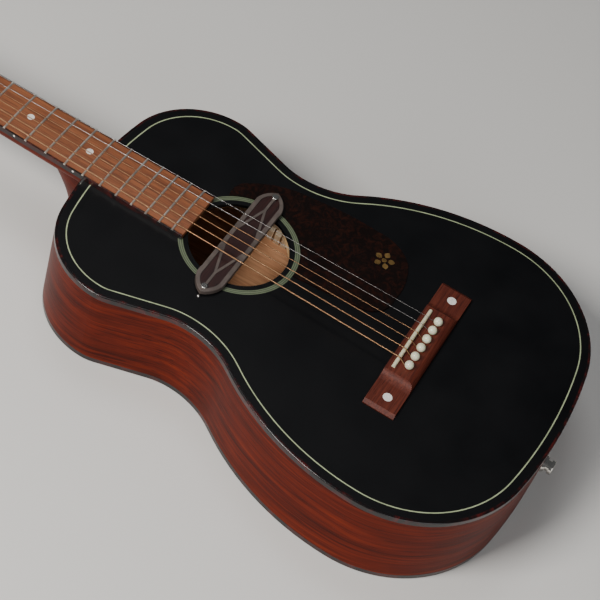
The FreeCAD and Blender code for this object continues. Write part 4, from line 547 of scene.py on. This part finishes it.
SPRUCE_ACROSS = wood("bare_spruce_across", across_body, (0.4, 0.22, 0.09), (0.6, 0.38, 0.18),
                     (0.7, 0.48, 0.26), bands=500.0, run=60.0, pores=2400.0, pore_depth=0.000015,
                     roughness=0.6)
LINING_WOOD = wood("bare_lining", round_the_rim, (0.52, 0.36, 0.2), (0.68, 0.52, 0.34), (0.78, 0.63, 0.45),
                   bands=300.0, run=30.0, pores=2000.0, pore_depth=0.000015, roughness=0.65)
BLOCK_WOOD = wood("bare_block", along_neck, (0.26, 0.11, 0.04), (0.36, 0.17, 0.07), (0.45, 0.23, 0.1),
                  bands=120.0, run=14.0, pores=1200.0, roughness=0.65)
BRIDGE_WOOD = wood("dark_red_bridge_wood", across_body, (0.035, 0.006, 0.004), (0.085, 0.016, 0.009),
                   (0.15, 0.034, 0.018), bands=260.0, run=16.0, pores=1600.0, roughness=0.45,
                   specular_ior_level=0.25)
BOARD_WOOD = wood("brown_board_wood", along_neck, (0.085, 0.022, 0.008), (0.2, 0.062, 0.024),
                  (0.34, 0.125, 0.05), bands=340.0, run=16.0, pores=1500.0, roughness=0.45)
INLAY_WOOD = wood("dark_red_inlay", across_body, (0.008, 0.002, 0.002), (0.02, 0.0045, 0.004),
                  (0.034, 0.008, 0.006), bands=300.0, run=14.0, pores=1600.0, roughness=0.35)
TRIM = tortoise("tortoise_trim", (0.004, 0.0025, 0.0028), (0.06, 0.006, 0.005), 60.0, roughness=0.2)
GUARD = tortoise("tortoise_guard", (0.0045, 0.0018, 0.0013), (0.019, 0.0045, 0.0022), 130.0, roughness=0.2,
                 specular_ior_level=0.35)
IVORY = moulded("ivory_line", (0.36, 0.42, 0.25), 0.4)
ROSETTE = rosette_rings("ivory_rosette", (0.13, 0.16, 0.095), (0.006, 0.007, 0.006))
BONE = moulded("polished_bone", (0.68, 0.6, 0.42), 0.3, subsurface_weight=0.15)
PIN_PLASTIC = moulded("cream_pins", (0.76, 0.7, 0.52), 0.28, mottle=0.06, subsurface_weight=0.2)
PEARL = shell("pearl_shell")
FRET_WIRE = metal("polished_fret_wire", (0.86, 0.84, 0.78), 0.38, brushed=0.3, grain_place=across_body)
NICKEL = metal("nickel_plate", (0.7, 0.67, 0.62), 0.16)
STEEL_BOLT = metal("zinc_steel", (0.5, 0.5, 0.52), 0.35, brushed=1.0)
BLACK_PLASTIC = moulded("black_plastic", (0.012, 0.012, 0.013), 0.4)
PICKUP_FRAME = moulded("grey_brown_frame", (0.085, 0.066, 0.058), 0.45, mottle=0.15)
BRASS = metal("thin_brass", (0.7, 0.42, 0.2), 0.28)
STRING_STEEL = metal("plain_string_steel", (0.36, 0.35, 0.34), 0.35)
BRONZE = metal("bronze_wrap", (0.42, 0.24, 0.13), 0.38)
GOLD_FOIL = metal("gold_foil", (0.6, 0.36, 0.13), 0.3)

NODE_FINISH = {
    "top": BLACK_TOP, "headstock_veneer": BLACK_HEAD, "back": BACK_WOOD, "bass_side": SIDE_WOOD,
    "treble_side": SIDE_WOOD, "neck": NECK_WOOD, "top_binding": TRIM, "back_binding": TRIM,
    "fingerboard_binding": TRIM, "tail_wedge": TRIM, "heel_cap": TRIM, "pickguard": GUARD,
    "top_purfling": IVORY, "rosette": ROSETTE, "x_brace_treble_foot": SPRUCE, "x_brace_bass_foot": SPRUCE,
    "upper_brace": SPRUCE_ACROSS, "tone_bars": SPRUCE_ACROSS, "back_braces": SPRUCE_ACROSS,
    "back_centre_strip": SPRUCE_ACROSS, "neck_block": BLOCK_WOOD, "tail_block": BLOCK_WOOD,
    "bridge_plate": BLOCK_WOOD, "bridge": BRIDGE_WOOD, "fingerboard": BOARD_WOOD, "saddle": BONE, "nut": BONE,
    "bridge_pins": PIN_PLASTIC, "pearl_dots": PEARL, "frets": FRET_WIRE, "tuner_plates": NICKEL,
    "headstock_screws": NICKEL, "post_bushings": NICKEL, "end_pin_jack": NICKEL, "end_pin_nuts": NICKEL,
    "pickup_screws": NICKEL, "pickup_clamps": NICKEL, "neck_bolts": STEEL_BOLT, "truss_rod": STEEL_BOLT,
    "truss_rod_cover": BLACK_PLASTIC, "pickup_case": BLACK_PLASTIC, "pickup_bezel": PICKUP_FRAME,
    "pickup_inlays": INLAY_WOOD, "pickup_base": BRASS, "plain_strings": STRING_STEEL,
}
for number in range(1, 7):
    NODE_FINISH["tuner_key_%d" % number] = NICKEL


def dress_cad_nodes():
    for name, material in NODE_FINISH.items():
        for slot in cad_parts[name].material_slots:
            slot.material = material


# ---- strings ---------------------------------------------------------------------------------
def string_x(index, spacing):
    """Places across, from treble to bass."""
    return (2.5 - index) * spacing


def crown_drop(x):
    return CROWN_RADIUS - math.sqrt(CROWN_RADIUS ** 2 - x * x)


def post_of(index):
    side = 1 if index < 3 else -1
    return side, POST_STATIONS[index if index < 3 else 5 - index]


def string_line(index):
    """Centre line of a string from its ball to its post, in metres."""
    radius = STRING_DIAMETERS[index] / 2
    nut_x = string_x(index, NUT_SPACING)
    saddle_x = string_x(index, SADDLE_SPACING)
    pin_x = string_x(index, PIN_SPACING)
    groove_s = PIN_S - PIN_SHAFT_RADIUS - STRING_SLOT_FIT - radius
    mouth_z = TOP_Z + BRIDGE_TOP - radius
    ball = at(pin_x, groove_s, TOP_Z - TOP_PLATE - BRIDGE_PLATE - BALL_RADIUS)
    mouth = at(pin_x, groove_s, mouth_z)
    over = TOP_Z + SADDLE_TOP - crown_drop(saddle_x) + radius
    fall = math.atan2(over - mouth_z, groove_s - SCALE_LENGTH)
    crown = SADDLE_WIDTH / 2 + radius
    saddle = at(saddle_x, SCALE_LENGTH + crown * math.tan(fall / 2), over)
    nut = at(nut_x, 0, BOARD_TOP + FRET_HEIGHT + FRET_CLEARANCE + radius - crown_drop(nut_x))
    return [ball, mouth, saddle, nut, winding_contact(index, nut)]


def winding_contact(index, nut):
    """Where a string meets its winding, on the post's inner side."""
    side, station = post_of(index)
    diameter = STRING_DIAMETERS[index]
    radius = POST_RADIUS + diameter / 2
    start = (HEAD.inverted() @ nut) / MM
    run_x = side * POST_X - start.x
    run_u = station - start.y
    distance = math.hypot(run_x, run_u)
    heading = math.atan2(run_x, run_u) - side * math.asin(radius / distance)
    reach = math.sqrt(distance ** 2 - radius ** 2) - diameter
    return on_head(start.x + reach * math.sin(heading), start.y + reach * math.cos(heading),
                   WINDING_RISE + diameter / 2)


WRAP_SIDES = 8
WRAP_PHASES = (0.0, 0.32, 0.68)    # one valley and two places on the crest, for each turn
WRAP_DEPTH = 0.32                  # of the wrap wire's diameter


def wrapped_string(shape, line, diameter, wrap):
    """A string whose wrap wire is one helix from end to end."""
    lengths = [(line[k + 1] - line[k]).length / MM for k in range(len(line) - 1)]
    total = sum(lengths)
    frames = []
    for k in range(len(line) - 1):
        direction = (line[k + 1] - line[k]).normalized()
        frames.append((direction, *crosswise(direction)))
    base = len(shape.points)
    turns = int(total / wrap)
    rows = 0
    for turn in range(turns - 1):
        for phase in WRAP_PHASES:
            for column in range(WRAP_SIDES):
                share = column / WRAP_SIDES
                travel = (turn + phase + share) * wrap
                run = 0
                while run < len(lengths) - 1 and travel > lengths[run]:
                    travel -= lengths[run]
                    run += 1
                direction, side, up = frames[run]
                radius = diameter / 2 - (WRAP_DEPTH * wrap if phase == 0.0 else 0.0)
                angle = 2 * math.pi * share
                offset = (side * math.cos(angle) + up * math.sin(angle)) * radius * MM
                shape.points.append(line[run] + direction * travel * MM + offset)
            rows += 1
    step = len(WRAP_PHASES)
    for row in range(rows - step - 1):
        for column in range(WRAP_SIDES):
            a = base + row * WRAP_SIDES + column
            if column < WRAP_SIDES - 1:
                b = a + 1
            else:
                b = base + (row + step) * WRAP_SIDES
            shape.faces.append((a, b, b + WRAP_SIDES, a + WRAP_SIDES))


def barrel(shape, middle):
    """Ball end: a short grooved barrel that lies across the string."""
    turn = Matrix.Translation(middle) @ Matrix.Rotation(math.pi / 2, 4, "Y")
    half = BALL_LENGTH / 2
    profile = ((0.6, -half), (BALL_RADIUS - 0.3, -half), (BALL_RADIUS, -half + 0.3),
               (BALL_RADIUS * 0.8, -0.5),
               (BALL_RADIUS * 0.8, 0.5), (BALL_RADIUS, half - 0.3), (BALL_RADIUS - 0.3, half), (0.6, half))
    shape.lathe(profile, turn, 16)


def wound_strings():
    """Four wrapped strings with their ball ends."""
    for index in range(PLAIN_STRINGS, len(STRING_DIAMETERS)):
        shape = Shape()
        line = string_line(index)
        diameter = STRING_DIAMETERS[index]
        wrapped_string(shape, line, diameter, WRAP_DIAMETERS[index])
        barrel(shape, line[0] + Vector((0, (BALL_RADIUS - diameter / 2) * MM, 0)))
        piece("wound_string_%d" % (index + 1), shape.points, shape.faces, BRONZE, "root",
              ("wound_strings",))


# ---- posts, gears and windings ---------------------------------------------------------------
def post_place(index):
    side, station = post_of(index)
    return HEAD @ Matrix.Translation(Vector((side * POST_X, station, 0)) * MM)


def gear_ring(radius_of, height, place):
    """One level of the gear: four points for each tooth."""
    ring = []
    for tooth in range(GEAR_TEETH):
        middle = 2 * math.pi * tooth / GEAR_TEETH
        half_root = math.pi / GEAR_TEETH * (GEAR_TOOTH_SHARE + 0.22)
        half_tip = math.pi / GEAR_TEETH * (GEAR_TOOTH_SHARE - 0.1)
        for offset, part in ((-half_root, 0), (-half_tip, 1), (half_tip, 1), (half_root, 0)):
            radius = radius_of[part]
            angle = middle + offset
            ring.append(place @ (Vector((radius * math.cos(angle), radius * math.sin(angle), height)) * MM))
    return ring


def make_post(index):
    """String post with a waist, its gear and the gear's screw."""
    place = post_place(index)
    shape = Shape()
    low = GEAR_MID - GEAR_FACE / 2
    stem = ((0.01, low), (POST_RADIUS - 0.02, low), (POST_RADIUS - 0.02, -0.2), (POST_RADIUS, 0.4),
            (POST_RADIUS, POST_HOLE_RISE - 1.4), (POST_RADIUS - 0.35, POST_HOLE_RISE - 0.9),
            (POST_RADIUS - 0.35, POST_HOLE_RISE + 0.5), (POST_RADIUS, POST_HOLE_RISE + 1.0),
            (POST_RADIUS, POST_RISE - 0.6), (POST_RADIUS - 0.2, POST_RISE - 0.2),
            (POST_RADIUS - 0.6, POST_RISE),
            (1.0, POST_RISE), (0.7, POST_RISE - 0.4), (0.01, POST_RISE - 0.4))
    shape.lathe(stem, place)
    root = GEAR_PITCH_RADIUS - GEAR_DEDENDUM
    tip = GEAR_PITCH_RADIUS + GEAR_ADDENDUM
    levels = []
    for share, trim in ((0.0, 0.25), (0.12, 0.0), (0.88, 0.0), (1.0, 0.25)):
        levels.append(gear_ring((root - trim, tip - trim), low + share * GEAR_FACE, place))
    shape.rings(levels)
    screw_low = low - GEAR_SCREW_HEAD
    screw = ((0.01, screw_low + 0.5), (0.9, screw_low + 0.5), (1.0, screw_low),
             (GEAR_SCREW_RADIUS - 0.4, screw_low),
             (GEAR_SCREW_RADIUS, screw_low + 0.4), (GEAR_SCREW_RADIUS, low), (0.01, low))
    shape.lathe(screw, place)
    number = str(index + 1)
    piece("string_post_" + number, shape.points, shape.faces, NICKEL, "post_" + number,
          ("tuner_post_" + number,), smooth=False)


COIL_STEPS = 24
COIL_SIDES = 8


def make_winding(index):
    """Turns of the string's end round its post, as one helix of its own wire."""
    side, _station = post_of(index)
    place = post_place(index)
    diameter = STRING_DIAMETERS[index]
    radius = POST_RADIUS + diameter / 2
    shape = Shape()
    rings = []
    steps = COIL_STEPS * WINDING_TURNS
    for step in range(steps + 1):
        angle = 2 * math.pi * step / COIL_STEPS
        height = WINDING_RISE + diameter / 2 + diameter * (WINDING_TURNS - 1) * step / steps
        heading = side * angle + (math.pi if side > 0 else 0)
        outward = Vector((math.cos(heading), math.sin(heading), 0))
        centre = outward * radius + Vector((0, 0, height))
        ring = []
        for corner in range(COIL_SIDES):
            turn = 2 * math.pi * corner / COIL_SIDES
            bulge = outward * math.cos(turn) + Vector((0, 0, 1)) * math.sin(turn)
            ring.append(place @ ((centre + bulge * diameter / 2) * MM))
        rings.append(ring)
    shape.rings(rings)
    number = str(index + 1)
    plain = index < PLAIN_STRINGS
    piece("string_turns_" + number, shape.points, shape.faces, STRING_STEEL if plain else BRONZE,
          "post_" + number)


# ---- kerfed linings --------------------------------------------------------------------------
def rim_loop():
    """The back plate's edge as places round the body, by angle from the waist."""
    places = {}
    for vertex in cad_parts["back"].data.vertices:
        places[(round(vertex.co.x, 5), round(vertex.co.y, 5))] = True
    loop = sorted(places, key=lambda place: math.atan2(place[0], place[1] - WAIST_Y))
    return [Vector((x, y, 0)) for x, y in loop]


def even_steps(points, step):
    """Places a fixed distance apart along a line."""
    made = [points[0]]
    rest = step
    for start, end in zip(points, points[1:]):
        length = (end - start).length
        done = 0.0
        while length - done >= rest:
            done += rest
            made.append(start.lerp(end, done / length))
            rest = step
        rest -= length - done
    return made


def lining_section(middle, inward, base_z, grow, web):
    """Five corners of the strip, cut down to its web inside a kerf."""
    reach = KERF_WEB if web else LINING_WIDTH
    corners = ((0, 0), (reach, 0), (reach, LINING_HEIGHT - (0 if web else LINING_BEVEL)),
               (reach - (0 if web else LINING_BEVEL), LINING_HEIGHT), (0, LINING_HEIGHT))
    return [middle + inward * (across * MM) + Vector((0, 0, (base_z + grow * rise) * MM))
            for across, rise in corners]


def block_reach(place):
    """Half width of the block at this end of the body."""
    return (NECK_BLOCK_HALF if place.y > WAIST_Y else TAIL_BLOCK_HALF) * MM


def make_linings():
    """Two kerfed strips round the inside, split at the blocks."""
    loop = rim_loop()
    back_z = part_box("back")[1].z / MM
    top_z = TOP_Z - TOP_PLATE
    for name, base_z, grow in (("back_linings", back_z, 1), ("top_linings", top_z, -1)):
        shape = Shape()
        for side in (-1, 1):
            half = [place for place in loop if place.x * side > 0]
            half.sort(key=lambda place: -abs(math.atan2(place.x, place.y - WAIST_Y)))
            half = [place for place in half if abs(place.x) > block_reach(place) + LINING_GAP * MM]
            rings = []
            steps = even_steps(half, KERF_PITCH * MM)
            for here_now, next_place in zip(steps, steps[1:]):
                travel = (next_place - here_now).normalized()
                inward = Vector((-travel.y, travel.x, 0))
                if inward.dot(Vector((0, WAIST_Y, 0)) - here_now) < 0:
                    inward = -inward
                slot = here_now.lerp(next_place, KERF_WIDTH / KERF_PITCH)
                for place, web in ((here_now, True), (slot, True), (slot, False), (next_place, False)):
                    rings.append(lining_section(place, inward, base_z, grow, web))
            shape.rings(rings)
        piece("kerfed_" + name, shape.points, shape.faces, LINING_WOOD, "root", (name,),
              smooth=False)


# ---- screw beside the pickup -----------------------------------------------------------------
SIDE_SCREW_X = -67.7
SIDE_SCREW_RADIUS = 1.6
SIDE_SCREW_RISE = 1.2


def make_side_screw():
    """Small round-head screw on the top, just outside the pickup's bass tip."""
    shape = Shape()
    place = Matrix.Translation(at(SIDE_SCREW_X, HOLE_S, TOP_Z + 0.01))
    rounded = []
    for step in range(9):
        angle = math.pi / 2 * step / 9
        rounded.append((SIDE_SCREW_RADIUS * math.cos(angle), SIDE_SCREW_RISE * math.sin(angle)))
    shape.lathe([(0.01, 0.0)] + rounded + [(0.01, SIDE_SCREW_RISE)], place)
    piece("pickup_side_screw", shape.points, shape.faces, NICKEL, "root")


# ---- ornament on the guard -------------------------------------------------------------------
ORNAMENT_S = 552.0
ORNAMENT_X = 64.0
ORNAMENT_PETAL = 9.5
ORNAMENT_BUD = 2.2
ORNAMENT_PETALS = 5
PETAL_STEPS = 12


def make_ornament():
    """A small gold flower of plain petals, a skin on the guard."""
    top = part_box("pickguard")[1].z / MM + 0.03
    shape = Shape()

    def patch(outline):
        base = len(shape.points)
        for level in (top - 0.05, top):
            shape.points.extend(at(ORNAMENT_X + x, ORNAMENT_S + y, level) for x, y in outline)
        count = len(outline)
        shape.faces.append(tuple(base + k for k in range(count)))
        shape.faces.append(tuple(base + count + k for k in reversed(range(count))))
        for k in range(count):
            following = (k + 1) % count
            shape.faces.append((base + k, base + count + k, base + count + following, base + following))

    for petal in range(ORNAMENT_PETALS):
        heading = 2 * math.pi * petal / ORNAMENT_PETALS
        outline = []
        for step in range(2 * PETAL_STEPS):
            share = step / PETAL_STEPS
            reach = share if share <= 1 else 2 - share
            along = ORNAMENT_BUD + 1.0 + (ORNAMENT_PETAL - ORNAMENT_BUD - 1.0) * reach
            swell = math.sin(math.pi * min(share, 2 - share)) ** 0.8 * 2.6
            across = swell if share <= 1 else -swell
            outline.append((along * math.cos(heading) - across * math.sin(heading),
                            along * math.sin(heading) + across * math.cos(heading)))
        patch(outline)
    bud = [(ORNAMENT_BUD * math.cos(2 * math.pi * k / 24), ORNAMENT_BUD * math.sin(2 * math.pi * k / 24))
           for k in range(24)]
    patch(bud)
    piece("guard_flower", shape.points, shape.faces, GOLD_FOIL, "root", smooth=False)


# ---- studio ----------------------------------------------------------------------------------
def make_floor():
    mesh = bpy.data.meshes.new("floor")
    reach = 6.0
    level = size_of_cad[0].z - FLOOR_GAP * MM
    corners = [(x * reach, y * reach, level) for x, y in ((-1, -1), (1, -1), (1, 1), (-1, 1))]
    mesh.from_pydata(corners, [], [(0, 1, 2, 3)])
    floor = bpy.data.objects.new("floor", mesh)
    bpy.context.scene.collection.objects.link(floor)
    mesh.materials.append(finish("pale_floor", base_color=(0.7, 0.69, 0.67), roughness=0.7)[0])


def make_light(name, place, aim, size, power, colour=(1.0, 1.0, 1.0)):
    lamp = bpy.data.lights.new(name, "AREA")
    lamp.size = size
    lamp.energy = power
    lamp.color = colour
    made = bpy.data.objects.new(name, lamp)
    made.location = place
    made.rotation_mode = "QUATERNION"
    made.rotation_quaternion = (Vector(aim) - Vector(place)).to_track_quat("-Z", "Y")
    bpy.context.scene.collection.objects.link(made)


def make_camera():
    data = bpy.data.cameras.new("camera")
    data.sensor_width = 36.0
    data.lens = 112.05
    data.clip_start = 0.05
    data.clip_end = 50.0
    made = bpy.data.objects.new("camera", data)
    right = Vector((0.47241, -0.8532, 0.22111))
    up = Vector((0.63121, 0.50259, 0.59075))
    back = Vector((-0.61515, -0.13951, 0.77597))
    turn = Matrix((right, up, back)).transposed().to_4x4()
    made.matrix_world = Matrix.Translation(Vector((-0.961, -0.4311, 1.2784))) @ turn
    bpy.context.scene.collection.objects.link(made)
    bpy.context.scene.camera = made


def make_studio():
    make_floor()
    world = bpy.data.worlds.new("studio")
    world.use_nodes = True
    background = world.node_tree.nodes["Background"]
    background.inputs["Color"].default_value = (0.9, 0.95, 1.0, 1)
    background.inputs["Strength"].default_value = 0.1
    bpy.context.scene.world = world
    make_light("key", (-1.2, 0.53, 1.52), (0, -0.1, 0.05), 0.7, 46.0, (1.0, 0.97, 0.93))
    make_light("fill", (-1.3, -1.3, 0.7), (0, 0, 0.05), 1.2, 12.0)
    make_light("crown", (0.5, 0.3, 2.2), (0, 0, 0.05), 0.8, 8.0)


dress_cad_nodes()
wound_strings()
for string in range(len(STRING_DIAMETERS)):
    make_post(string)
    make_winding(string)
make_linings()
make_side_screw()
make_ornament()
make_studio()
make_camera()
